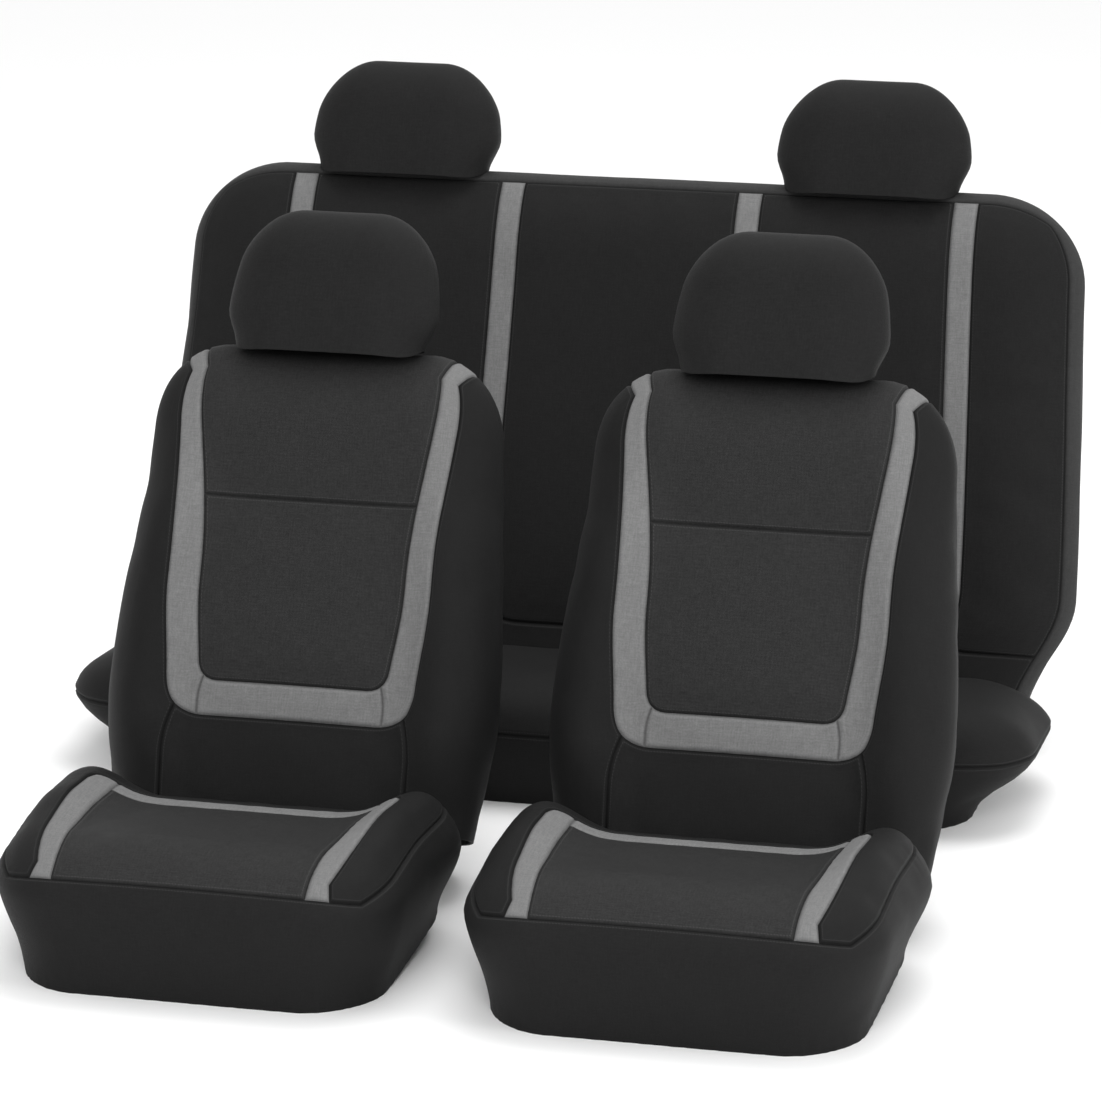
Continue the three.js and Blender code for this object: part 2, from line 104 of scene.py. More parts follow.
# ---------------------------------------------------------------- finishes
@dataclass(frozen=True)
class ClothFinish:
    """A knitted or woven cloth with its weave, flecks, nap and painted shade along its seams."""

    name: str
    slot: str
    base: float
    fleck: float = 0.12
    slub: float = 0.12
    thread: float = 1.5
    relief: float = 0.25
    sheen: float = 0.004
    roughness: float = 0.6
    gloss: float = 0.08
    # groove: how dark the painted shade in a seam's groove gets, as a factor on the colour
    groove: float = 0.6
    stitch: float = 0.0

    def material(self) -> bpy.types.Material:
        """Build the cloth's node material once.

        The colour is the base grey, times a streaky slub along each thread direction, times
        small flecks, darkened as painted shade where the seam distance falls to nothing; the bump
        is two crossed thread waves with noise.

        Returns:
            The material, shared by every piece that wears this finish.
        """
        found = bpy.data.materials.get(self.name)
        if found:
            return found
        made = bpy.data.materials.new(self.name)
        made.use_nodes = True
        tree = Nodes(made.node_tree)
        shader = tree.find("Principled BSDF")
        uv = tree.add("ShaderNodeUVMap", uv_map="cloth").outputs[0]
        grain = self._grain(tree, uv)
        colour = tree.shaded((self.base,) * 3, grain)
        seam = tree.add("ShaderNodeAttribute", attribute_name="seam").outputs["Fac"]
        # painted shade: the colour is darkened to a share of groove at a seam, full colour from SEAM_SHADE
        # millimetres out
        colour = tree.shaded(colour, tree.ramp(seam, 0.0, SEAM_SHADE, self.groove, 1.0))
        if self.stitch:
            colour = self._stitching(tree, uv, seam, colour)
        tree.link(colour, shader.inputs["Base Color"])
        shader.inputs["Roughness"].default_value = self.roughness
        shader.inputs["Specular IOR Level"].default_value = self.gloss
        shader.inputs["Sheen Weight"].default_value = self.sheen
        shader.inputs["Sheen Roughness"].default_value = 0.45
        tree.link(self._bump(tree, uv), shader.inputs["Normal"])
        return made

    def _grain(self, tree: "Nodes", uv: Socket) -> Socket:
        """Return the factor near 1 that streaks and flecks the colour.

        Args:
            tree: the material's nodes.
            uv: the cloth's own coordinates in metres.

        Returns:
            A value socket.
        """
        along = tree.noise(tree.scaled(uv, (430.0, 55.0, 1.0)), 1.0, 2.0)
        across = tree.noise(tree.scaled(uv, (55.0, 430.0, 1.0)), 1.0, 2.0)
        fine = tree.noise(tree.scaled(uv, (420.0, 420.0, 1.0)), 1.0, 1.0)
        broad = tree.noise(tree.scaled(uv, (14.0, 14.0, 1.0)), 1.0, 2.0)
        streak = tree.math("ADD", along, across)
        streak = tree.math("MULTIPLY_ADD", streak, self.slub * 2, 1 - self.slub * 2)
        spots = tree.math("MULTIPLY_ADD", fine, self.fleck * 4, 1 - self.fleck * 2)
        cloud = tree.math("MULTIPLY_ADD", broad, 0.16, 0.92)
        return tree.math("MULTIPLY", tree.math("MULTIPLY", streak, spots), cloud)

    def _stitching(self, tree: "Nodes", uv: Socket, seam: Socket, colour: Socket) -> Socket:
        """Return the colour with a dashed row of thread beside each seam.

        A stitch shows where the seam distance is near STITCH_OFF and a wave along the cloth is high.

        Args:
            tree: the material's nodes.
            uv: the cloth's own coordinates in metres.
            seam: distance from the nearest seam in millimetres.
            colour: the cloth's colour.

        Returns:
            A colour socket.
        """
        off = tree.math("ABSOLUTE", tree.math("SUBTRACT", seam, STITCH_OFF))
        row = tree.ramp(off, 0.35, 0.8, 1.0, 0.0)
        parts = tree.add("ShaderNodeSeparateXYZ")
        tree.link(uv, parts.inputs[0])
        run = tree.math("ADD", parts.outputs[0], parts.outputs[1])
        wave = tree.math("SINE", tree.math("MULTIPLY", run, 2 * math.pi / (STITCH_PITCH * MM)))
        dash = tree.ramp(wave, -0.35, -0.1, 0.0, 1.0)
        return tree.mix_between(colour, self.stitch, tree.math("MULTIPLY", row, dash))

    def _bump(self, tree: "Nodes", uv: Socket) -> Socket:
        """Return the normal of two crossed thread waves with a little noise."""
        scale = 1000.0 / self.thread
        parts = tree.add("ShaderNodeSeparateXYZ")
        tree.link(uv, parts.inputs[0])
        waves = [
            tree.math("SINE", tree.math("MULTIPLY", parts.outputs[k], 2 * math.pi * scale)) for k in (0, 1)
        ]
        weave = tree.math("MULTIPLY", waves[0], waves[1])
        rough = tree.noise(tree.scaled(uv, (300.0, 300.0, 1.0)), 1.0, 3.0)
        height = tree.math("MULTIPLY_ADD", rough, 1.2, tree.math("MULTIPLY", weave, 0.5))
        node = tree.add("ShaderNodeBump")
        node.inputs["Strength"].default_value = self.relief
        node.inputs["Distance"].default_value = 0.0006
        tree.link(height, node.inputs["Height"])
        return node.outputs[0]


class Nodes:
    """A short hand for building one node tree."""

    def __init__(self, tree: bpy.types.NodeTree) -> None:
        """Keep the tree."""
        self.tree = tree

    def find(self, label: str) -> bpy.types.Node:
        """Return the node of that name."""
        return self.tree.nodes[label]

    def add(self, kind: str, **values: object) -> bpy.types.Node:
        """Add a node and set its properties.

        Args:
            kind: the node's type.
            **values: properties set by name.

        Returns:
            The node.
        """
        node = self.tree.nodes.new(kind)
        for key, value in values.items():
            setattr(node, key, value)
        return node

    def link(self, source: Socket, target: Socket) -> None:
        """Join two sockets."""
        self.tree.links.new(source, target)

    def feed(self, value: object, target: Socket) -> None:
        """Link a socket, or set a plain number, on a target."""
        if isinstance(value, Socket):
            self.link(value, target)
        else:
            target.default_value = value

    def math(self, operation: str, *values: object) -> Socket:
        """Return a Math node's result on sockets or numbers."""
        node = self.add("ShaderNodeMath", operation=operation)
        for value, socket in zip(values, node.inputs):
            self.feed(value, socket)
        return node.outputs[0]

    def scaled(self, vector: Socket, scale: Sequence[float]) -> Socket:
        """Return a vector times a scale on each axis."""
        node = self.add("ShaderNodeVectorMath", operation="MULTIPLY")
        self.link(vector, node.inputs[0])
        node.inputs[1].default_value = tuple(scale)
        return node.outputs[0]

    def noise(self, vector: Socket, scale: float, detail: float) -> Socket:
        """Return a noise value between 0 and 1."""
        node = self.add("ShaderNodeTexNoise")
        self.link(vector, node.inputs["Vector"])
        node.inputs["Scale"].default_value = scale
        node.inputs["Detail"].default_value = detail
        return node.outputs["Fac"]

    def ramp(
        self, value: Socket, start: float, end: float, low: float, high: float
    ) -> Socket:
        """Return low at start, high at end and a smooth step between."""
        node = self.add("ShaderNodeMapRange", interpolation_type="SMOOTHSTEP")
        for number, socket in zip((start, end, low, high), list(node.inputs)[1:5]):
            socket.default_value = number
        self.link(value, node.inputs[0])
        return node.outputs[0]

    def shaded(self, colour: object, factor: Socket) -> Socket:
        """Return a fixed colour or a colour socket times a value."""
        node = self.add("ShaderNodeVectorMath", operation="SCALE")
        self.feed(colour, node.inputs[0])
        self.link(factor, node.inputs["Scale"])
        return node.outputs[0]

    def mix_between(
        self, colour: Socket, grey: float, factor: Socket
    ) -> Socket:
        """Return the colour moved towards a grey by the factor."""
        node = self.add("ShaderNodeMix", data_type="RGBA")
        self.link(factor, node.inputs[0])
        self.link(colour, node.inputs[6])
        node.inputs[7].default_value = (grey, grey, grey, 1.0)
        return node.outputs[2]


class Finish(Enum):
    """The finishes a piece may wear."""

    INSERT = ClothFinish("insert_weave", "insert_cloth", 0.0205, fleck=0.20, slub=0.30, stitch=0.042)
    # painted shade: the insert cloth again at about half its lightness, for the headrests and the bench
    # covers
    SHADED_INSERT = ClothFinish("shaded_insert_weave", "insert_cloth", 0.0104, fleck=0.16, slub=0.26, stitch=0.027)
    BODY = ClothFinish("body_weave", "body_cloth", 0.0095, fleck=0.12, slub=0.18, stitch=0.024)
    SKIRT = ClothFinish("skirt_weave", "skirt_cloth", 0.0108, fleck=0.12, slub=0.18, stitch=0.028)
    # painted light: the skirt cloth at nearly three times its lightness, for the bench back's gusset
    LIT_GUSSET = ClothFinish("lit_gusset_weave", "skirt_cloth", 0.030, fleck=0.10, slub=0.18)
    TRIM = ClothFinish("trim_weave", "trim_cloth", 0.148, fleck=0.10, slub=0.2, sheen=0.02, roughness=0.8)
    WEB = ClothFinish("strap_weave", "webbing", 0.008, thread=2.4, relief=0.6)
    ELASTIC = ClothFinish("gathered_elastic", "elastic_band", 0.009, thread=1.8, relief=0.5)
    BACKING = ClothFinish("foam_backing", "body_cloth", 0.03, fleck=0.05, slub=0.05, thread=2.0, groove=0.8)


def buckle_plastic() -> bpy.types.Material:
    """Return the moulded plastic of the strap buckles."""
    made = bpy.data.materials.new("moulded_plastic")
    made.use_nodes = True
    tree = Nodes(made.node_tree)
    shader = tree.find("Principled BSDF")
    place = tree.add("ShaderNodeTexCoord").outputs["Object"]
    mottled = tree.noise(tree.scaled(place, (900.0, 900.0, 900.0)), 1.0, 2.0)
    tree.link(tree.ramp(mottled, 0.3, 0.7, 0.36, 0.5), shader.inputs["Roughness"])
    tone = tree.ramp(mottled, 0.2, 0.8, 0.85, 1.1)
    tree.link(tree.shaded((0.016, 0.016, 0.017), tone), shader.inputs["Base Color"])
    node = tree.add("ShaderNodeBump")
    node.inputs["Strength"].default_value = 0.15
    node.inputs["Distance"].default_value = 0.0002
    tree.link(mottled, node.inputs["Height"])
    tree.link(node.outputs[0], shader.inputs["Normal"])
    return made


# ---------------------------------------------------------------- the surface of a cover
@dataclass(frozen=True)
class BoxSize:
    """A rounded box in pattern millimetres: half width, front and rear, foot, top and corner radii."""

    half: float
    front: float
    rear: float
    foot: float
    top: float
    round_x: float
    round_y: float
    round_z: float


@dataclass
class Skin:
    """The skin of a cover: a rounded box, open underneath, bent by shape and set down by place."""

    size: BoxSize
    shape: Warp
    place: Warp
    layout: Warp

    def at(self, points: Array, depth: float) -> Array:
        """Return where points of the flat-sided box lie on the finished cover.

        Each point is clamped to the core of the box; the step from core to point, measured in
        corner radii, is cut to length one, so flats stay flat and corners turn to ellipsoids.

        Args:
            points: box points in millimetres, shape (n, 3).
            depth: how far inside the face the skin lies, in millimetres.

        Returns:
            Positions in millimetres in the part's frame, shape (n, 3).
        """
        size = self.size
        radii = np.array([size.round_x, size.round_y, size.round_z])
        low = np.array([-size.half, size.front, -1e9]) + radii
        high = np.array([size.half, size.rear, size.top]) - radii
        p = self.layout(points)
        core = np.clip(p, low, high)
        away = (p - core) / radii
        away = away / np.linalg.norm(away, axis=-1, keepdims=True)
        return self.place(self.shape(core + away * (radii - depth)))


def reclined(angle: float, origin: Array) -> Warp:
    """Return the warp that leans a back about its hinge.

    A point (across, out, up) of the upright back goes to origin + (across, out cos + up sin,
    up cos - out sin).

    Args:
        angle: lean in radians.
        origin: the hinge's middle in millimetres.

    Returns:
        The warp.
    """
    c, s = math.cos(angle), math.sin(angle)

    def warp(p: Array) -> Array:
        """Lean the points."""
        x, a, t = p.T
        return origin + np.stack([x, a * c + t * s, t * c - a * s], -1)

    return warp


# ---------------------------------------------------------------- rules and patches
@dataclass(frozen=True)
class Grid:
    """How closely a pattern is ruled: the usual spacing, and the extra lines beside each seam."""

    step: float
    near: tuple[float, ...] = (1.2, 2.6, 4.5, 7.5, 11.0)


@dataclass(frozen=True)
class Rule:
    """Grid lines between breaks: each line is a segment number and a fraction along it."""

    segment: Array
    share: Array

    @staticmethod
    def make(breaks: Sequence[float], seams: Sequence[bool], grid: Grid) -> "Rule":
        """Rule lines, closer together beside the breaks that are seams.

        Args:
            breaks: rising positions in millimetres.
            seams: whether each break is a sewn seam.
            grid: the spacing wanted.

        Returns:
            The rule.
        """
        segment: list[int] = []
        share: list[float] = []
        for k, (a, b) in enumerate(zip(breaks[:-1], breaks[1:])):
            width = b - a
            near = [n for n in grid.near if n <= width * 0.45]
            start = near if seams[k] else []
            end = [width - n for n in near[::-1]] if seams[k + 1] else []
            first = start[-1] if start else 0.0
            last = end[0] if end else width
            cells = max(1, round((last - first) / grid.step))
            middle = list(np.linspace(first, last, cells + 1)[1:-1])
            places = [0.0, *start, *middle, *end]
            segment += [k] * len(places)
            share += [v / width for v in places]
        segment.append(len(breaks) - 2)
        share.append(1.0)
        return Rule(np.array(segment), np.array(share))

    def spread(self, breaks: Array) -> Array:
        """Return the line positions for breaks given as an array whose first axis is the breaks."""
        low, high = breaks[self.segment], breaks[self.segment + 1]
        share = self.share.reshape((-1,) + (1,) * (breaks.ndim - 1))
        return low + (high - low) * share

    @property
    def cells(self) -> Array:
        """Return the segment number of each cell between two lines."""
        return self.segment[:-1]


@dataclass
class Patch:
    """One face of the box as a grid: points, cloth coordinates and the panel each cell is cut into."""

    points: Array
    cloth: Array
    panel: Array
    outward: Array


def front_patch(size: BoxSize, xs: Array, ts: Array, panel: Array) -> Patch:
    """Return the front face, with x lines that may wander with height.

    Args:
        size: the cover's box.
        xs: x of each line at each height, shape (nx, nt).
        ts: heights, shape (nt,).
        panel: panel number of each cell.

    Returns:
        The patch.
    """
    t = np.broadcast_to(ts, xs.shape)
    points = np.stack([xs, np.full(xs.shape, size.front), t], -1)
    return Patch(points, np.stack([xs, t], -1), panel, np.array([0.0, -1.0, 0.0]))


def rear_patch(size: BoxSize, xs: Array, ts: Array, panel: Array) -> Patch:
    """Return the rear face; its cloth coordinate runs on round from the right side."""
    x, t = np.meshgrid(xs, ts, indexing="ij")
    points = np.stack([x, np.full(x.shape, size.rear), t], -1)
    round_way = 2 * size.half + (size.rear - size.front) - x
    return Patch(points, np.stack([round_way, t], -1), panel, np.array([0.0, 1.0, 0.0]))


def side_patch(size: BoxSize, sign: int, ys: Array, ts: Array, panel: Array) -> Patch:
    """Return a side face; its cloth coordinate runs on from the front face."""
    y, t = np.meshgrid(ys, ts, indexing="ij")
    points = np.stack([np.full(y.shape, sign * size.half), y, t], -1)
    cloth = np.stack([sign * (size.half + y - size.front), t], -1)
    return Patch(points, cloth, panel, np.array([float(sign), 0.0, 0.0]))


def top_patch(size: BoxSize, xs: Array, ys: Array, panel: Array) -> Patch:
    """Return the top face; its cloth coordinate runs on up from the front face."""
    x, y = np.meshgrid(xs, ys, indexing="ij")
    points = np.stack([x, y, np.full(x.shape, size.top)], -1)
    cloth = np.stack([x, size.top + y - size.front], -1)
    return Patch(points, cloth, panel, np.array([0.0, 0.0, 1.0]))


@dataclass
class Pattern:
    """All the patches of a cover, welded where they meet."""

    points: Array
    quads: Array
    cloth: Array
    panel: Array

    @staticmethod
    def weld(patches: Sequence[Patch]) -> "Pattern":
        """Join patches at shared points, every quad wound to face outwards.

        Args:
            patches: the faces of the box.

        Returns:
            The welded pattern.
        """
        corners, cloths, panels = [], [], []
        for patch in patches:
            p, c = patch.points, patch.cloth
            way = np.cross(p[1, 0] - p[0, 0], p[0, 1] - p[0, 0]) @ patch.outward
            order = (0, 1, 2, 3) if way > 0 else (3, 2, 1, 0)
            shifts = [(slice(None, -1), slice(None, -1)), (slice(1, None), slice(None, -1))]
            shifts += [(slice(1, None), slice(1, None)), (slice(None, -1), slice(1, None))]
            corners.append(np.stack([p[shifts[k]] for k in order], 2).reshape(-1, 4, 3))
            cloths.append(np.stack([c[shifts[k]] for k in order], 2).reshape(-1, 4, 2))
            panels.append(patch.panel.reshape(-1))
        stacked = np.concatenate(corners).reshape(-1, 3)
        keys = np.round(stacked * 100).astype(np.int64)
        _, first, back = np.unique(keys, axis=0, return_index=True, return_inverse=True)
        quads = back.reshape(-1, 4)
        return Pattern(stacked[first], quads, np.concatenate(cloths) * MM, np.concatenate(panels))

    def edges(self) -> tuple[Array, Array]:
        """Find the seams and the free hem.

        Every quad edge is keyed by its two ends; an edge seen once is free, and an edge whose two
        quads are in different panels is a seam.

        Returns:
            Vertex numbers on seams, and vertex numbers on free edges.
        """
        ends = np.stack([self.quads, np.roll(self.quads, -1, axis=1)], -1).reshape(-1, 2)
        owner = np.repeat(self.panel, 4)
        ends = np.sort(ends, axis=1)
        order = np.lexsort((ends[:, 1], ends[:, 0]))
        ends, owner = ends[order], owner[order]
        same = np.all(ends[1:] == ends[:-1], axis=1)
        seam = ends[:-1][same & (owner[1:] != owner[:-1])]
        paired = np.zeros(len(ends), bool)
        paired[1:] |= same
        paired[:-1] |= same
        return np.unique(seam), np.unique(ends[~paired])


def wrap(size: BoxSize, across: Array, ts: Array, ys: Array, panels: Sequence[object]) -> Pattern:
    """Weld the faces of a box open underneath.

    Args:
        size: the cover's box.
        across: x of each line on the front face at each height, shape (nx, nt).
        ts: heights.
        ys: lines from front to rear.
        panels: panel numbers for the front, rear, left, right and, if there is one, top face,
            each a number or an array that spreads over the face's cells.

    Returns:
        The welded pattern.
    """
    xs = across[:, -1]
    nx, nt, ny = len(xs) - 1, len(ts) - 1, len(ys) - 1
    shapes = [(nx, nt), (nx, nt), (ny, nt), (ny, nt), (nx, ny)]
    front, rear, left, right, *top = (np.broadcast_to(v, n) for v, n in zip(panels, shapes))
    patches = [
        front_patch(size, across, ts, front),
        rear_patch(size, xs, ts, rear),
        side_patch(size, -1, ys, ts, left),
        side_patch(size, 1, ys, ts, right),
    ]
    return Pattern.weld(patches + [top_patch(size, xs, ys, v) for v in top])


def nearest(points: Array, marks: Array) -> Array:
    """Return each point's distance to the nearest mark, worked out in blocks.

    Args:
        points: positions, shape (n, 3).
        marks: positions to measure to, shape (m, 3).

    Returns:
        Distances, shape (n,).
    """
    if not len(marks):
        return np.full(len(points), 1e3)
    square = (marks**2).sum(1)
    blocks = [
        np.sqrt(np.maximum(((b**2).sum(1)[:, None] + square - 2 * b @ marks.T).min(1), 0.0))
        for b in np.array_split(points, max(1, len(points) // 1500))
    ]
    return np.concatenate(blocks)


def vertex_normals(points: Array, quads: Array) -> Array:
    """Return the mean facing of the quads round each vertex."""
    a, b, c, d = (points[quads[:, k]] for k in range(4))
    facing = np.cross(c - a, d - b)
    total = np.zeros_like(points)
    for k in range(4):
        np.add.at(total, quads[:, k], facing)
    return unit(total)


# ---------------------------------------------------------------- panels as pieces
@dataclass(frozen=True)
class PanelCut:
    """One sewn panel: the CAD node it stands for and its finish."""

    node: str
    finish: Finish


@dataclass(frozen=True)
class Relief:
    """How cloth stands and sinks about its seams, in millimetres."""

    groove: float = 1.9
    welt: float = 0.8
    crown: float = 1.6
    pucker: float = 0.4
    hem_gather: float = 0.0
    drift: float = 0.9

    def height(self, points: Array, seam: Array, hem: Array) -> Array:
        """Return how far each point stands out of the plain skin.

        A narrow groove at the seam, a welt of turned-in cloth beside it, a slow crown between
        seams, puckers that die out from the seam, gathers at the hem and a faint overall drift.

        Args:
            points: positions in millimetres.
            seam: distance from the nearest seam.
            hem: distance from the free edge.

        Returns:
            Heights in millimetres.
        """
        out = -self.groove * np.exp(-((seam / 2.4) ** 2)) + self.welt * bump(seam, 5.5, 3.0)
        out += self.crown * (1 - np.exp(-seam / 26.0)) - self.crown * 0.6
        out += self.pucker * np.exp(-((seam / 13.0) ** 2)) * ripple(points, 17.0, 3)
        out += self.drift * ripple(points, 190.0, 5) * (1 - np.exp(-seam / 40.0))
        if self.hem_gather:
            fade = np.exp(-((hem / 20.0) ** 2))
            out += self.hem_gather * fade * ripple(points, 19.0, 7)
        return out


def add_mesh(
    name: str, points: Array, faces: Array, cloth: Array | None, values: dict[str, Array]
) -> bpy.types.Object:
    """Make one object at the origin from arrays of quads.

    Args:
        name: the object's name.
        points: positions in metres, shape (n, 3).
        faces: quads, shape (m, 4).
        cloth: cloth coordinates of each corner, shape (m, 4, 2), or None.
        values: one number per vertex for each named attribute.

    Returns:
        The linked object, smooth shaded with sharp rims.
    """
    mesh = bpy.data.meshes.new(name)
    mesh.from_pydata(points.tolist(), [], faces.tolist())
    for key, numbers in values.items():
        mesh.attributes.new(key, "FLOAT", "POINT").data.foreach_set("value", numbers.astype(np.float32))
    if cloth is not None:
        layer = mesh.uv_layers.new(name="cloth")
        layer.data.foreach_set("uv", cloth.reshape(-1).astype(np.float32))
    mesh.polygons.foreach_set("use_smooth", np.ones(len(faces), bool))
    mesh.set_sharp_from_angle(angle=SHARP)
    mesh.update()
    made = bpy.data.objects.new(name, mesh)
    bpy.context.scene.collection.objects.link(made)
    return made


FINE, COARSE = Grid(9), Grid(17, ())
BENCH_FINE, BENCH_COARSE = Grid(13), Grid(23, ())
FADE = 9.0  # how soon settled moves die out beside a seam, in millimetres
SETTLED: dict[str, Array] = {}


@dataclass(frozen=True)
class ClothSettle:
    """A cloth simulation that lets a cover's panels swell and crease between their stitched seams."""

    pressure: float = 4.0
    growth: float = 0.012
    frames: int = 20
    cap: float = 6.0

    def run(self, points: Array, pattern: Pattern) -> Array:
        """Simulate the loose cover and return how far each vertex moved.

        The seams and the hem are held; the cloth between them is cut slightly large and pushed
        out by air pressure with no gravity. A move d is softened to cap d / (cap + d).

        Args:
            points: the cover's skin in millimetres, one row per pattern point.
            pattern: the coarse pattern.

        Returns:
            Moves in millimetres, shape (n, 3).
        """
        scene = bpy.context.scene
        mesh = bpy.data.meshes.new("loose_cover")
        mesh.from_pydata((points * MM).tolist(), [], pattern.quads.tolist())
        loose = bpy.data.objects.new("loose_cover", mesh)
        scene.collection.objects.link(loose)
        seams, hems = pattern.edges()
        held = loose.vertex_groups.new(name="held")
        held.add(np.union1d(seams, hems).tolist(), 1.0, "REPLACE")
        cloth = loose.modifiers.new("cloth", "CLOTH")
        self._set_up(cloth.settings)
        cloth.point_cache.frame_start, cloth.point_cache.frame_end = 1, self.frames
        for frame_number in range(1, self.frames + 1):
            scene.frame_set(frame_number)
        ended = loose.evaluated_get(bpy.context.evaluated_depsgraph_get()).to_mesh()
        moved = np.empty(len(points) * 3, np.float32)
        ended.vertices.foreach_get("co", moved)
        scene.frame_set(1)
        bpy.data.objects.remove(loose)
        bpy.data.meshes.remove(mesh)
        move = moved.reshape(-1, 3) / MM - points
        far = np.linalg.norm(move, axis=1, keepdims=True)
        return move * self.cap / (self.cap + far)

    def _set_up(self, settings: bpy.types.ClothSettings) -> None:
        """Set the cloth's weight, stiffness, pressure and pins."""
        settings.quality = 6
        settings.mass = 0.3
        settings.tension_stiffness = settings.compression_stiffness = 12.0
        settings.shear_stiffness = 6.0
        settings.bending_stiffness = 0.6
        settings.shrink_min = -self.growth
        settings.vertex_group_mass = "held"
        settings.use_pressure = True
        settings.uniform_pressure_force = self.pressure
        settings.effector_weights.gravity = 0.0


def carried(fine: Array, coarse: Array, moves: Array, width: float) -> Array:
    """Carry moves from coarse points to fine ones.

    Each fine point takes the mean of all moves, weighted by a bell curve of distance.

    Args:
        fine: points to move, in millimetres.
        coarse: points that moved.
        moves: their moves.
        width: the bell's width in millimetres.

    Returns:
        One move per fine point.
    """
    square = (coarse**2).sum(1)
    parts = []
    for block in np.array_split(fine, max(1, len(fine) // 2000)):
        apart = (block**2).sum(1)[:, None] + square - 2 * block @ coarse.T
        weight = np.exp(-np.maximum(apart, 0) / width**2)
        parts.append(weight @ moves / np.maximum(weight.sum(1, keepdims=True), 1e-12))
    return np.concatenate(parts)


@dataclass
class CoverBuild:
    """A cover's pattern laid on its skin, ready to be cut into panels."""

    key: str
    skin: Skin
    pattern: Pattern
    coarse: Pattern
    relief: Relief
    outer: Array = field(init=False)
    inner: Array = field(init=False)
    seam: Array = field(init=False)

    def __post_init__(self) -> None:
        """Lay the pattern on the skin, settle it and raise the relief on it."""
        flat_outer = self.skin.at(self.pattern.points, 0.0)
        flat_inner = self.skin.at(self.pattern.points, CLOTH)
        seams, hems = self.pattern.edges()
        self.seam = nearest(flat_outer, flat_outer[seams])
        hem = nearest(flat_outer, flat_outer[hems])
        settled = self.settled(flat_outer, hem)
        normal = vertex_normals(flat_outer + settled, self.pattern.quads)
        rise = self.relief.height(self.pattern.points, self.seam, hem)[:, None] * normal
        self.outer = flat_outer + settled + rise
        self.inner = flat_inner + settled + rise

    def settled(self, fine: Array, hem: Array) -> Array:
        """Args:
            fine: the fine skin in millimetres.
            hem: distance from the free edge.

        Returns:
            Moves that fade to nothing at seams and hem.
        """
        if self.key not in SETTLED:
            coarse = self.skin.at(self.coarse.points, 0.0)
            moves = ClothSettle().run(coarse, self.coarse)
            spread = carried(fine, coarse, moves, COARSE.step)
            fade = 1 - np.exp(-np.minimum(self.seam, hem) / FADE)
            SETTLED[self.key] = spread * fade[:, None]
            mean = np.linalg.norm(moves, axis=1).mean()
            LOG.info("%s: cloth settled, mean move %.1f mm", self.key, mean)
        return SETTLED[self.key]

    def cut(self, number: int, cut: PanelCut, body: str) -> bpy.types.Object:
        """Cut one panel out as a closed piece with an outer skin, a lining and a rim.

        Args:
            number: the panel's number in the pattern.
            cut: what the panel is.
            body: the body it rides on.

        Returns:
            The piece.
        """
        mask = self.pattern.panel == number
        quads, cloth = self.pattern.quads[mask], self.pattern.cloth[mask]
        used, local = np.unique(quads, return_inverse=True)
        local = local.reshape(quads.shape)
        outer, inner, seam = self.outer[used], self.inner[used], self.seam[used]
        piece, rims = two_skins(f"{cut.node}_cloth", outer, inner, local, cloth, seam)
        piece.data.materials.append(cut.finish.value.material())
        piece.data.materials.append(Finish.BACKING.value.material())
        slots = np.repeat([0, 1, 0], [len(local), len(local), len(rims)])
        piece.data.polygons.foreach_set("material_index", slots)
        self._declare(piece, cut, body)
        return piece

    def _declare(
        self, piece: bpy.types.Object, cut: PanelCut, body: str
    ) -> None:
        """Parent the piece to its body's empty and hide the CAD node it stands for.

        Args:
            piece: the panel's object.
            cut: what the panel is.
            body: the body it rides on.
        """
        declare(piece, body, cut.node)


def free_rims(quads: Array, cloth: Array) -> tuple[Array, Array]:
    """Find the directed edges with no opposite, and their cloth coordinates.

    Args:
        quads: the panel's quads.
        cloth: cloth coordinates of their corners.

    Returns:
        The edges, shape (k, 2), and the coordinates of a rim quad on each, shape (k, 4, 2).
    """
    ends = np.stack([quads, np.roll(quads, -1, axis=1)], -1).reshape(-1, 2)
    coords = np.stack([cloth, np.roll(cloth, -1, axis=1)], 2).reshape(-1, 2, 2)
    size = int(quads.max()) + 1
    forward = ends[:, 0] * size + ends[:, 1]
    backward = ends[:, 1] * size + ends[:, 0]
    free = ~np.isin(forward, backward)
    c = coords[free]
    return ends[free], np.stack([c[:, 1], c[:, 0], c[:, 0], c[:, 1]], 1)


def two_skins(
    name: str, outer: Array, inner: Array, quads: Array, cloth: Array, seam: Array | float
) -> tuple[bpy.types.Object, Array]:
    """Make one closed piece from an outer skin, an inner skin and the rim between them.

    Args:
        name: the object's name.
        outer: the outer skin's points in millimetres.
        inner: the inner skin's points.
        quads: the outer skin's quads.
        cloth: cloth coordinates of their corners.
        seam: the outer points' distance from a seam.

    Returns:
        The piece, and the outer skin's free edges.
    """
    rims, rim_cloth = free_rims(quads, cloth)
    count = len(outer)
    a, b = rims.T
    faces = np.concatenate([quads, quads[:, ::-1] + count, np.stack([b, a, a + count, b + count], -1)])
    corners = np.concatenate([cloth, cloth[:, ::-1], rim_cloth])
    values = np.concatenate([np.broadcast_to(seam, count), np.full(count, UNSEWN)])
    return add_mesh(name, np.concatenate([outer, inner]) * MM, faces, corners, {"seam": values}), rims


def declare(piece: bpy.types.Object, body: str, node: str) -> None:
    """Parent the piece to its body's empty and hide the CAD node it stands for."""
    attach(piece, body)
    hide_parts(node)


# ---------------------------------------------------------------- positions from the frame
def joint_at(name: str) -> Array:
    """Return a joint's position in millimetres."""
    found = next(j for j in frame["record"]["behaviour"]["joints"] if j["name"] == name)
    return np.array(found["pos_m"]) / MM


def middle_x(node: str) -> float:
    """Return the middle of a node's box across the vehicle, in millimetres."""
    low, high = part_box(node)
    return (low[0] + high[0]) / 2 / MM


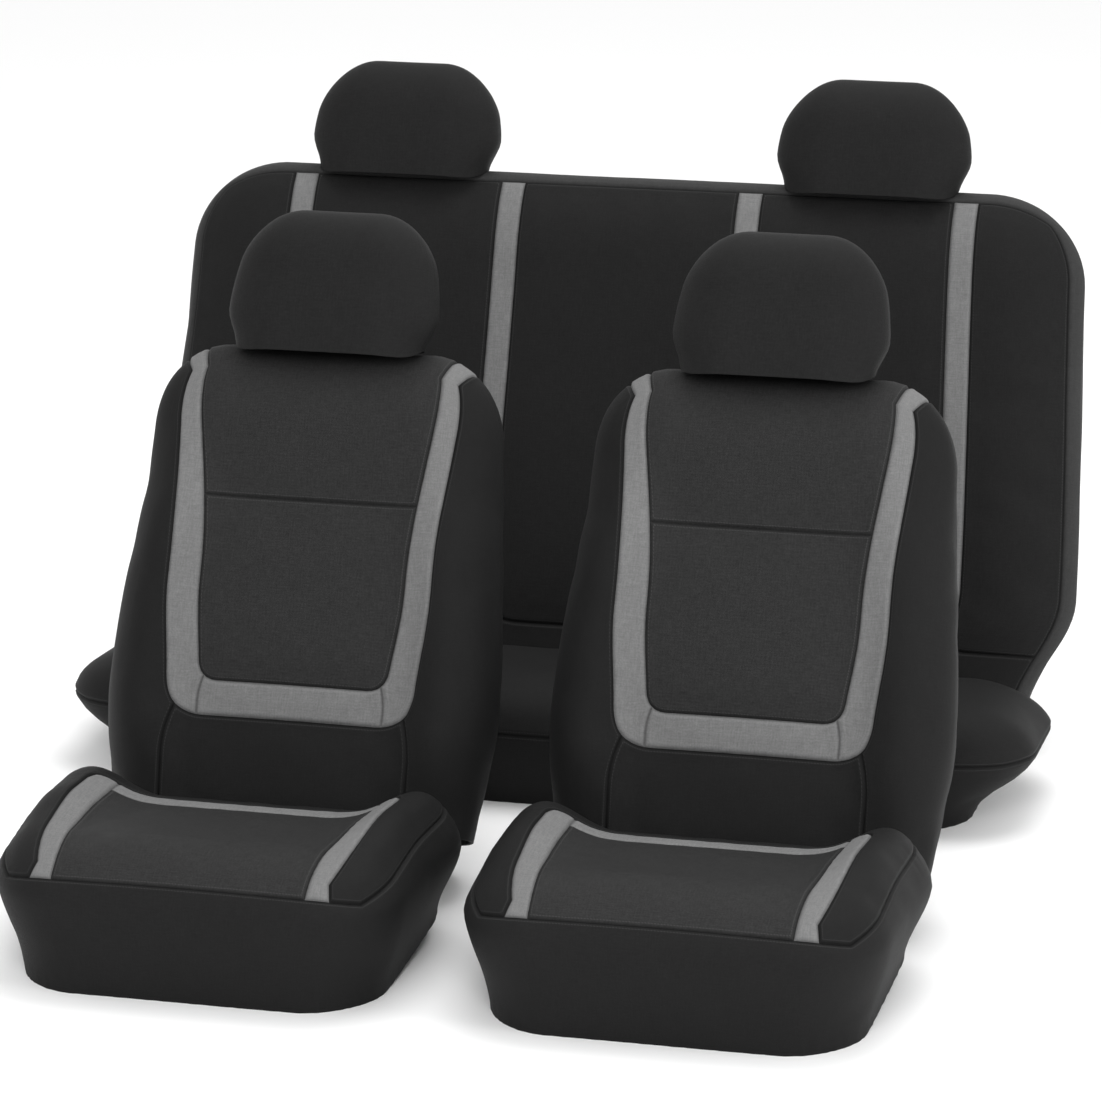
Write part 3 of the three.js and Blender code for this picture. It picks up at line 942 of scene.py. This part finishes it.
# ---------------------------------------------------------------- front seat cushion cover
@dataclass
class FrontCushion:
    """A bucket seat's cushion cover: insert, pale trims, bolster surround, skirt, elastic and strap."""

    side: str
    size: BoxSize = BoxSize(278, -500, -84, 0, 190, 105, 112, 66)
    seam: float = 158
    trim: tuple[float, float] = (175, 213)
    rear_trim: tuple[float, float] = (-210, -174)
    corner_reach: float = 46
    drop: float = 26
    bolster: float = 42
    crown: float = 10
    taper: float = 0.12
    flare: float = 0.10
    hem_rise: float = 40
    seam_rise: float = 22

    @property
    def body(self) -> str:
        """Return the body's name."""
        return f"front_{self.side}_cushion"

    def back(self, y: Array) -> Array:
        """Return how far back a point is, 0 at the front and 1 at the rear."""
        return np.clip((y - self.size.front) / (self.size.rear - self.size.front), 0, 1)

    def shape(self, p: Array) -> Array:
        """Return the box's points bent to the seat: bolsters raised, rear dropped, hem drawn in.

        Args:
            p: rounded box points.

        Returns:
            The shaped points.
        """
        x, y, z = p.T
        u, back = np.abs(x) / self.size.half, self.back(y)
        high, low = smooth(70, 180, z), 1 - smooth(0, 150, z)
        bolster = self.bolster * smooth(0.05, 0.55, back) * bump(u, 0.82, 0.2)
        crown = self.crown * bump(back, 0.16, 0.16) * np.maximum(1 - u * u, 0)
        hem = self.hem_rise * smooth(0.2, 1, back) * low
        return np.stack(
            [
                x * (1 - self.taper * low) * (1 + self.flare * (back - 0.4)),
                y + 22 * low * smooth(0.5, 0, back),
                z + (bolster + crown - self.drop * back) * high + hem,
            ],
            -1,
        )

    def layout(self, p: Array) -> Array:
        """Return the box points with a rising skirt seam and the trim's rear corners rounded."""
        lift = self.seam_rise * self.back(p[:, 1]) * bump(p[:, 2], self.seam, 45)
        corner, rear = self.trim[1], self.rear_trim[1]
        off = np.hypot(np.abs(p[:, 0]) - corner, p[:, 1] - rear)
        pull = fillet(off, self.corner_reach) * (p[:, 2] >= self.size.top)
        return p + np.stack([-np.sign(p[:, 0]) * pull, -pull, lift], -1)

    def origin(self) -> Array:
        """Return the cover's own origin in the part's frame."""
        hinge = joint_at(f"front_{self.side}_recline")
        return np.array([middle_x(f"front_{self.side}_cushion_skirt"), hinge[1] - 20, 0])

    def pattern(self, grid: Grid) -> Pattern:
        """Return the cushion cover's panels on a welded grid.

        Args:
            grid: how closely it is ruled.

        Returns:
            Panels 0 insert, 1 and 3 trims, 2 rear trim, 4 surround, 5 skirt.
        """
        size, (t0, t1), (r0, r1) = self.size, self.trim, self.rear_trim
        xb = np.array([-size.half, -t1, -t0, t0, t1, size.half])
        x_rule = Rule.make(xb, [False, True, True, True, True, False], grid)
        yb = np.array([size.front, r0, r1, size.rear])
        y_rule = Rule.make(yb, [False, True, True, False], grid)
        zb = np.array([0.0, self.seam, size.top])
        z_rule = Rule.make(zb, [False, True, False], grid)
        xs, ys, zs = x_rule.spread(xb), y_rule.spread(yb), z_rule.spread(zb)
        upper_front = np.array([4, 1, 0, 3, 4])
        wall = np.where(z_rule.cells == 0, 5, 4)
        front = np.where(z_rule.cells[None] == 0, 5, upper_front[x_rule.cells][:, None])
        table = np.array([[4, 4, 4], [1, 1, 4], [0, 2, 4], [3, 3, 4], [4, 4, 4]])
        top = table[x_rule.cells][:, y_rule.cells]
        return wrap(size, np.repeat(xs[:, None], len(zs), 1), zs, ys, [front, wall, wall, wall, top])

    def build(self) -> None:
        """Make and dress every piece of the cover."""
        origin = self.origin()
        skin = Skin(self.size, self.shape, lambda p: p + origin, self.layout)
        grids = self.pattern(FINE), self.pattern(COARSE)
        cover = CoverBuild("front_cushion", skin, *grids, Relief(hem_gather=0.9))
        names = ["insert", "trim_left", "trim_rear", "trim_right", "surround", "skirt"]
        finishes = [Finish.INSERT, Finish.TRIM, Finish.TRIM, Finish.TRIM, Finish.BODY, Finish.SKIRT]
        dress(cover, self.body, list(zip(names, finishes)))
        add_elastic(f"{self.body}_elastic", skin, self.body)
        add_strap(f"{self.body}_strap", self.body)
        fit_buckle(f"{self.body}_buckle")


# ---------------------------------------------------------------- hems, straps and buckles
def add_elastic(node: str, skin: Skin, body: str) -> None:
    """Make the gathered band inside a skirt's hem.

    The band follows the skin 6.5 mm in, and its depth swings as a sine along the hem so it
    stands in small even gathers.

    Args:
        node: the CAD band it stands for.
        skin: the cover's skin.
        body: the body it rides on.
    """
    size, low, high = skin.size, 2.5, 16.5
    xs = np.linspace(-size.half, size.half, int(size.half / 1.6))
    ys = np.linspace(size.front, size.rear, int((size.rear - size.front) / 3.2))
    zs = np.linspace(low, high, 6)
    pattern = wrap(size, np.repeat(xs[:, None], len(zs), 1), zs, ys, [0, 0, 0, 0])
    p = pattern.points
    outer = skin.at(p, CLOTH + 2.2)
    normal = vertex_normals(outer, pattern.quads)
    run = p[:, 0] * (np.abs(p[:, 0]) < size.half - 1) + p[:, 1]
    wave = 0.55 * np.sin(2 * math.pi * run / 8.0)[:, None] * normal
    channel = 0.35 * np.cos(2 * math.pi * (p[:, 2] - low) / 4.6)[:, None] * normal
    outer = outer + wave + channel
    inner = outer - 1.3 * normal
    piece, _ = two_skins(f"{node}_band", outer, inner, pattern.quads, pattern.cloth, UNSEWN)
    piece.data.materials.append(Finish.ELASTIC.value.material())
    declare(piece, body, node)
    LOG.info("%s: gathered elastic", piece.name)


def add_strap(node: str, body: str) -> None:
    """Make the webbing strap under a cushion, with rolled edges and a slack sag.

    The strap's run is the box of the CAD strap; its height falls as 1 - k*k from both ends, and
    its thickness swells a little at the two edges.

    Args:
        node: the CAD strap it stands for.
        body: the body it rides on.
    """
    low, high = (np.array(v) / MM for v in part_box(node))
    k, w = np.meshgrid(np.linspace(-1, 1, 90), np.linspace(-1, 1, 13), indexing="ij")
    x = (low[0] + high[0]) / 2 + w * (high[0] - low[0]) / 2
    y = (low[1] + high[1]) / 2 + k * (high[1] - low[1]) / 2
    sag = 12 * (1 - k * k)
    thick = 0.75 + 0.18 * bump(np.abs(w), 0.86, 0.12) - 0.5 * smooth(0.93, 1.0, np.abs(w))
    z = high[2] - 0.9 - sag
    top = np.stack([x, y, z + thick], -1).reshape(-1, 3)
    under = np.stack([x, y, z - thick], -1).reshape(-1, 3)
    index = np.arange(k.size).reshape(k.shape)
    quads = np.stack([index[:-1, :-1], index[1:, :-1], index[1:, 1:], index[:-1, 1:]], -1).reshape(-1, 4)
    flat = np.stack([x, y], -1).reshape(-1, 2)[quads] * MM
    piece, _ = two_skins(f"{node}_webbing", top, under, quads, flat, UNSEWN)
    piece.data.materials.append(Finish.WEB.value.material())
    declare(piece, body, node)
    LOG.info("%s: webbing", piece.name)


def fit_buckle(node: str) -> None:
    """Give a CAD buckle its moulded plastic."""
    part = frame["nodes"][node]
    plastic = bpy.data.materials.get("moulded_plastic") or buckle_plastic()
    part.data.materials.clear()
    part.data.materials.append(plastic)
    LOG.info("%s: moulded plastic", node)


# ---------------------------------------------------------------- front seat back cover
@dataclass
class FrontBack:
    """A bucket seat's back cover: two inserts, a mitred pale U, bolsters, lower and rear panels."""

    side: str
    size: BoxSize = BoxSize(272, -72, 56, -20, 636, 118, 58, 118)
    recline: float = math.radians(23)
    taper_top: float = 0.10
    taper_low: float = 0.08
    heel: float = 60
    bolster: float = 34
    lumbar: float = 14
    curl: float = 24
    seam_t: float = 421
    bar_t: float = 142
    bar_width: float = 48
    trim_width: float = 42
    trim_top: float = 202
    trim_mid: float = 165
    trim_low: float = 152
    rear_seam: float = 34
    top_seam: float = 6
    corner_outer: float = 54
    corner_inner: float = 28

    @property
    def body(self) -> str:
        """Return the body's name."""
        return f"front_{self.side}_back"

    def taper(self, t: Array) -> Array:
        """Return the width at a height as a share of the full width."""
        return 1 - self.taper_top * smooth(150, 560, t) - self.taper_low * smooth(160, -60, t)

    def shape(self, p: Array) -> Array:
        """Return the box's points bent to the back: tapered, bolstered, with a lumbar swell and a curl.

        Args:
            p: rounded box points (across, out, up).

        Returns:
            The shaped points.
        """
        x, a, t = p.T
        u, face = np.abs(x) / self.size.half, smooth(20, -60, a)
        bolster = self.bolster * bump(u, 0.8, 0.2) * smooth(590, 330, t) * smooth(-60, 120, t)
        lumbar = self.lumbar * bump(t, 170, 140) * np.maximum(1 - (u / 0.6) ** 2, 0)
        heel = self.heel * smooth(340, -20, t) * smooth(0, self.size.rear, a)
        out = a - (bolster + lumbar) * face - self.curl * smooth(420, 640, t) + heel
        return np.stack([x * self.taper(t), out, t], -1)

    def trim_line(self, t: Array, offset: float) -> Array:
        """Return a trim edge's distance from the centre line on the pattern.

        Args:
            t: heights.
            offset: from the trim's middle, in finished millimetres.

        Returns:
            Pattern x at each height.
        """
        upper = self.trim_mid + (self.trim_top - self.trim_mid) * smooth(330, 680, t)
        centre = self.trim_low + (upper - self.trim_low) * smooth(self.bar_t, 300, t)
        return (centre + offset) / self.taper(t)

    def layout(self, p: Array) -> Array:
        """Return the box points with the U's outer and inner corners rounded on the front face."""
        corners = []
        for way, reach in ((-1, self.corner_outer), (1, self.corner_inner)):
            height = self.bar_t + way * self.bar_width / 2
            corner = float(self.trim_line(np.array([height]), -way * self.trim_width / 2)[0])
            corners += [(-corner, height, 1, reach), (corner, height, -1, reach)]
        return round_corners(p, self.size.front, corners)

    def pattern(self, grid: Grid) -> Pattern:
        """Return the back cover's panels on a welded grid.

        Args:
            grid: how closely it is ruled.

        Returns:
            Panels 0 upper and 1 lower insert, 2 left, 3 bottom and 4 right trim, 5 left and
            6 right bolster, 7 lower panel, 8 rear panel.
        """
        size, half = self.size, self.trim_width / 2
        bar = self.bar_width / 2
        tb = np.array([size.foot, self.bar_t - bar, self.bar_t + bar, self.seam_t, size.top])
        t_rule = Rule.make(tb, [False, True, True, True, False], grid)
        ts = t_rule.spread(tb)
        outer, inner = self.trim_line(ts, half), self.trim_line(ts, -half)
        wall = np.full(len(ts), size.half)
        xb = np.stack([-wall, -outer, -inner, inner, outer, wall])
        even = [-272, -190, -148, 148, 190, 272]
        x_rule = Rule.make(even, [False, True, True, True, True, False], grid)
        across = x_rule.spread(xb)
        yb = np.array([size.front, self.top_seam, self.rear_seam, size.rear])
        y_rule = Rule.make(yb, [False, True, True, False], grid)
        ys = y_rule.spread(yb)
        face = np.array([[5, 5, 5, 5], [7, 2, 2, 2], [7, 3, 1, 0], [7, 4, 4, 4], [6, 6, 6, 6]])
        over = np.array([[5, 5, 8], [2, 8, 8], [0, 8, 8], [4, 8, 8], [6, 6, 8]])
        left, right = (np.where(y_rule.cells == 2, 8, bolster)[:, None] for bolster in (5, 6))
        front, top = face[x_rule.cells][:, t_rule.cells], over[x_rule.cells][:, y_rule.cells]
        return wrap(size, across, ts, ys, [front, 8, left, right, top])

    def build(self) -> None:
        """Make and dress every piece of the cover."""
        hinge = joint_at(f"front_{self.side}_recline")
        skin = Skin(self.size, self.shape, reclined(self.recline, hinge), self.layout)
        cover = CoverBuild("front_back", skin, self.pattern(FINE), self.pattern(COARSE), Relief())
        dress(cover, self.body, BACK_PANELS)


BACK_PANELS = [
    ("insert_upper", Finish.INSERT),
    ("insert_lower", Finish.INSERT),
    ("trim_left", Finish.TRIM),
    ("trim_bottom", Finish.TRIM),
    ("trim_right", Finish.TRIM),
    ("bolster_left", Finish.BODY),
    ("bolster_right", Finish.BODY),
    ("lower_panel", Finish.BODY),
    ("rear_panel", Finish.BODY),
]


def dress(cover: CoverBuild, body: str, panels: Sequence[tuple[str, Finish]], stem: str = "") -> None:
    """Cut every panel of a cover.

    Args:
        cover: the laid-out cover.
        body: the body they ride on.
        panels: name and finish of each panel, in pattern order.
        stem: the start of the node names, where it isn't the body's name.
    """
    for number, (name, finish) in enumerate(panels):
        cover.cut(number, PanelCut(f"{stem or body}_{name}", finish), body)


def fillet(off: Array, reach: float) -> Array:
    """Return how far points near a corner move along each side, so the corner becomes a parabola."""
    return reach / 4 * np.maximum(0, 1 - off / reach) ** 2


def round_corners(p: Array, front: float, corners: Sequence[tuple[float, float, int, float]]) -> Array:
    """Draw seam corners in on the front face so they turn round.

    Each corner pulls the points about it sideways and up, by less the farther they are.

    Args:
        p: box points.
        front: the y of the front face.
        corners: x, height, sideways sign and reach of each corner.

    Returns:
        The moved points.
    """
    x, y, t = p.T
    on_front = y <= front + 1e-6
    pulls = [fillet(np.hypot(x - cx, t - ct), reach) * on_front for cx, ct, _, reach in corners]
    shift = sum(pull * corner[2] for pull, corner in zip(pulls, corners))
    return np.stack([x + shift, y, t + sum(pulls)], -1)


# ---------------------------------------------------------------- headrest covers
FRONT_AHEAD, REAR_AHEAD = -56, -16  # how far a headrest stands ahead of its back's middle
REAR_TOP = 160  # height of a rear headrest cover


@dataclass
class Headrest:
    """A headrest cover: a domed front panel and a rear panel, open underneath."""

    stem: str
    body: str
    hinge: str
    middle: float
    base: float
    recline: float
    ahead: float
    top: float = 186
    half: float = 147

    @property
    def size(self) -> BoxSize:
        """Return the cover's box."""
        return BoxSize(self.half, -58, 56, 0, self.top, 88, 54, 82)

    def shape(self, p: Array) -> Array:
        """Return the box's points narrowed to the top and the foot and lifted onto the back."""
        x, a, t = p.T
        taper = 1 - 0.13 * smooth(40, self.top, t) - 0.10 * smooth(45, 0, t)
        dip = 20 * smooth(10, -50, a) * smooth(80, 0, t)
        return np.stack([x * taper, a + self.ahead + 0.06 * t, t + self.base + 3 - dip], -1)

    def pattern(self, grid: Grid) -> Pattern:
        """Return the headrest cover's two panels on a welded grid: 0 front, 1 rear."""
        size = self.size
        xs = np.linspace(-size.half, size.half, round(2 * size.half / grid.step) + 1)
        ts = np.linspace(0, size.top, round(size.top / grid.step) + 1)
        yb = np.array([size.front, 16.0, size.rear])
        y_rule = Rule.make(yb, [False, True, False], grid)
        ys = y_rule.spread(yb)
        side = y_rule.cells[:, None]
        return wrap(size, np.repeat(xs[:, None], len(ts), 1), ts, ys, [0, 1, side, side, y_rule.cells])

    def build(self) -> None:
        """Make and dress both panels."""
        origin = joint_at(self.hinge)
        origin[0] = self.middle
        skin = Skin(self.size, self.shape, reclined(self.recline, origin), lambda p: p)
        key = "front_headrest" if self.top > 170 else "bench_headrest"
        cover = CoverBuild(key, skin, self.pattern(FINE), self.pattern(COARSE), Relief(hem_gather=0.8))
        dress(cover, self.body, [("front", Finish.SHADED_INSERT), ("rear", Finish.SHADED_INSERT)], self.stem)


# ---------------------------------------------------------------- rear bench covers
@dataclass
class BenchBack:
    """The bench's back cover: two inserts in pale U trims, side, centre and lower panels, gusset, rear."""

    size: BoxSize = BoxSize(712, -56, 52, -45, 728, 150, 48, 132)
    recline: float = math.radians(18)
    taper: float = 0.03
    taper_low: float = 0.09
    curl: float = 8
    trim_outer: float = 528
    trim_inner: float = 190
    trim_width: float = 37
    bar_t: float = 60
    front_seam: float = -34
    rear_seam: float = 32
    corner_outer: float = 42
    corner_inner: float = 20

    def shape(self, p: Array) -> Array:
        """Return the box's points narrowed to the top and foot and curled a little forward."""
        x, a, t = p.T
        width = 1 - self.taper * smooth(80, 700, t) - self.taper_low * smooth(130, -45, t)
        return np.stack([x * width, a - self.curl * smooth(400, self.size.top, t), t], -1)

    def layout(self, p: Array) -> Array:
        """Return the box points with all four lower corners of the trims rounded."""
        corners = []
        for way, reach in ((-1, self.corner_outer), (1, self.corner_inner)):
            height = self.bar_t + way * self.trim_width / 2
            inner = self.trim_inner + way * self.trim_width / 2
            outer = self.trim_outer - way * self.trim_width / 2
            corners += [(side * outer, height, -side, reach) for side in (-1, 1)]
            corners += [(side * inner, height, side, reach) for side in (-1, 1)]
        return round_corners(p, self.size.front, corners)

    def pattern(self, grid: Grid) -> Pattern:
        """Return the bench back's panels on a welded grid.

        Args:
            grid: how closely it is ruled.

        Returns:
            Panels 0 and 1 inserts, 2 and 3 trims, 4 left, 5 right and 6 centre panel, 7 lower
            panel, 8 gusset, 9 rear panel.
        """
        size, half = self.size, self.trim_width / 2
        right = [middle + way * half for middle in (self.trim_inner, self.trim_outer) for way in (-1, 1)]
        xb = np.array([-size.half, *[-v for v in right[::-1]], *right, size.half])
        x_rule = Rule.make(xb, [False, *[True] * 8, False], grid)
        tb = np.array([size.foot, self.bar_t - half, self.bar_t + half, size.top])
        t_rule = Rule.make(tb, [False, True, True, False], grid)
        yb = np.array([size.front, self.front_seam, self.rear_seam, size.rear])
        y_rule = Rule.make(yb, [False, True, True, False], grid)
        xs, ts, ys = x_rule.spread(xb), t_rule.spread(tb), y_rule.spread(yb)
        upper = np.array([4, 2, 0, 2, 6, 3, 1, 3, 5])
        middle = np.array([4, 2, 2, 2, 6, 3, 3, 3, 5])
        face = np.stack([np.full(9, 7), middle, upper], -1)
        over = np.stack([upper, np.full(9, 8), np.full(9, 9)], -1)
        ends = [np.array([[7, outer, outer], [8, 8, 8], [9, 9, 9]]) for outer in (4, 5)]
        left, right = (end[y_rule.cells][:, t_rule.cells] for end in ends)
        front, top = face[x_rule.cells][:, t_rule.cells], over[x_rule.cells][:, y_rule.cells]
        return wrap(size, np.repeat(xs[:, None], len(ts), 1), ts, ys, [front, 9, left, right, top])

    def build(self) -> None:
        """Make and dress every piece of the cover."""
        skin = Skin(self.size, self.shape, reclined(self.recline, joint_at("rear_back_fold")), self.layout)
        grids = self.pattern(BENCH_FINE), self.pattern(BENCH_COARSE)
        cover = CoverBuild("bench_back", skin, *grids, Relief())
        names = ["insert_left", "insert_right", "trim_left", "trim_right", "panel_left", "panel_right"]
        names += ["panel_centre", "lower_panel", "gusset", "rear_panel"]
        finishes = [Finish.SHADED_INSERT, Finish.SHADED_INSERT, Finish.TRIM, Finish.TRIM, Finish.SHADED_INSERT, Finish.SHADED_INSERT]
        finishes += [Finish.SHADED_INSERT, Finish.BODY, Finish.LIT_GUSSET, Finish.BODY]
        dress(cover, "rear_back", list(zip(names, finishes)), "bench_back")


@dataclass
class BenchCushion:
    """The bench's cushion cover: a top panel and a skirt drawn in at the ends, elastic and straps."""

    size: BoxSize = BoxSize(716, -440, -84, 0, 176, 130, 110, 78)
    seam: float = 106
    drop: float = 26
    taper: float = 0.13

    def shape(self, p: Array) -> Array:
        """Return the box's points with the rear dropped and the hem drawn in."""
        x, y, z = p.T
        back = np.clip((y - self.size.front) / (self.size.rear - self.size.front), 0, 1)
        low = 1 - smooth(0, 110, z)
        return np.stack(
            [
                x * (1 - self.taper * low),
                y + 16 * low * smooth(0.5, 0, back),
                z - self.drop * back * smooth(70, 160, z),
            ],
            -1,
        )

    def pattern(self, grid: Grid) -> Pattern:
        """Return the cover's two panels on a welded grid: 0 top, 1 skirt."""
        size = self.size
        xs = np.linspace(-size.half, size.half, round(2 * size.half / grid.step) + 1)
        ys = np.linspace(size.front, size.rear, round((size.rear - size.front) / grid.step) + 1)
        zb = np.array([0.0, self.seam, size.top])
        z_rule = Rule.make(zb, [False, True, False], grid)
        zs = z_rule.spread(zb)
        wall = np.where(z_rule.cells == 0, 1, 0)
        return wrap(size, np.repeat(xs[:, None], len(zs), 1), zs, ys, [wall, wall, wall, wall, 0])

    def build(self) -> None:
        """Make and dress every piece of the cover."""
        hinge = joint_at("rear_back_fold")
        origin = np.array([hinge[0], hinge[1] - 20, 0])
        skin = Skin(self.size, self.shape, lambda p: p + origin, lambda p: p)
        grids = self.pattern(BENCH_FINE), self.pattern(BENCH_COARSE)
        cover = CoverBuild("bench_cushion", skin, *grids, Relief(hem_gather=1.2))
        dress(cover, "rear_cushion", [("top", Finish.SHADED_INSERT), ("skirt", Finish.SKIRT)], "bench_cushion")
        add_elastic("bench_cushion_elastic", skin, "rear_cushion")
        for edge in ("left", "right"):
            add_strap(f"bench_cushion_strap_{edge}", "rear_cushion")


# ---------------------------------------------------------------- studio
@dataclass(frozen=True)
class Studio:
    """The camera, the pale floor and the soft lights."""

    azimuth: float = 14.0
    elevation: float = 15.0
    lens: float = 156.8
    distance: float = 6.6
    target: tuple[float, float, float] = (0.073, -0.085, 0.425)

    def build(self) -> None:
        """Set up the whole studio."""
        bpy.context.scene.view_settings.view_transform = "Standard"
        self.camera()
        self.floor()
        self.light("key", (1.0, -4.6, 3.2), (0.0, 0.0, 0.5), 2.0, 95)
        self.light("right_fill", (4.4, -1.2, 2.0), (0.2, 0.0, 0.5), 2.0, 70)
        self.light("top", (0.3, 1.2, 4.6), (0.0, 0.4, 0.3), 3.0, 95)
        world = bpy.data.worlds.new("pale_room")
        bpy.context.scene.world = world
        world.use_nodes = True
        shade = world.node_tree.nodes["Background"]
        shade.inputs[0].default_value = (1.0, 1.0, 1.0, 1.0)
        shade.inputs[1].default_value = 1.0

    def camera(self) -> None:
        """Set the camera on its ring round the target."""
        az, el = math.radians(self.azimuth), math.radians(self.elevation)
        way = np.array([math.cos(el) * math.sin(az), -math.cos(el) * math.cos(az), math.sin(el)])
        data = bpy.data.cameras.new("camera")
        data.lens, data.sensor_width, data.clip_end = self.lens, 36.0, 60.0
        made = bpy.data.objects.new("camera", data)
        made.location = np.array(self.target) + way * self.distance
        made.rotation_euler = (math.pi / 2 - el, 0.0, az)
        bpy.context.scene.collection.objects.link(made)
        bpy.context.scene.camera = made

    def floor(self) -> None:
        """Lay the plain pale floor."""
        span = 30.0
        points = np.array([[-span, -span, 0], [span, -span, 0], [span, span, 0], [-span, span, 0]], float)
        made = add_mesh("studio_floor", points, np.array([[0, 1, 2, 3]]), None, {})
        paint = bpy.data.materials.new("pale_floor")
        paint.use_nodes = True
        shader = paint.node_tree.nodes["Principled BSDF"]
        shader.inputs["Base Color"].default_value = (0.92, 0.92, 0.92, 1.0)
        shader.inputs["Roughness"].default_value = 0.9
        made.data.materials.append(paint)

    def light(
        self, name: str, place: Sequence[float], aim: Sequence[float], size: float, power: float
    ) -> None:
        """Hang one square soft light.

        Args:
            name: the light's name.
            place: where it hangs, in metres.
            aim: the point it faces.
            size: its side in metres.
            power: its power in watts.
        """
        data = bpy.data.lights.new(name, "AREA")
        data.size, data.energy = size, power
        made = bpy.data.objects.new(name, data)
        made.location = place
        way = unit(np.array(place) - np.array(aim))
        tilt = math.acos(way[2])
        made.rotation_euler = (tilt, 0.0, math.atan2(way[1], way[0]) + math.pi / 2)
        bpy.context.scene.collection.objects.link(made)


def main() -> None:
    """Build the studio and every cover, in order."""
    logging.basicConfig(level=logging.INFO, format="%(message)s")
    Studio().build()
    front, rear = FrontBack("left"), BenchBack()
    for side in ("left", "right"):
        FrontCushion(side).build()
        FrontBack(side).build()
        seat = middle_x(f"front_{side}_cushion_skirt")
        stem, hinge = f"front_{side}_headrest", f"front_{side}_recline"
        Headrest(stem, stem, hinge, seat, front.size.top, front.recline, FRONT_AHEAD).build()
    BenchCushion().build()
    rear.build()
    for side in ("left", "right"):
        stem = f"bench_headrest_{side}"
        body, place = f"rear_headrest_{side}", middle_x(f"{stem}_front")
        lean = rear.recline
        Headrest(stem, body, "rear_back_fold", place, rear.size.top, lean, REAR_AHEAD, REAR_TOP).build()


if __name__ == "__main__":
    main()
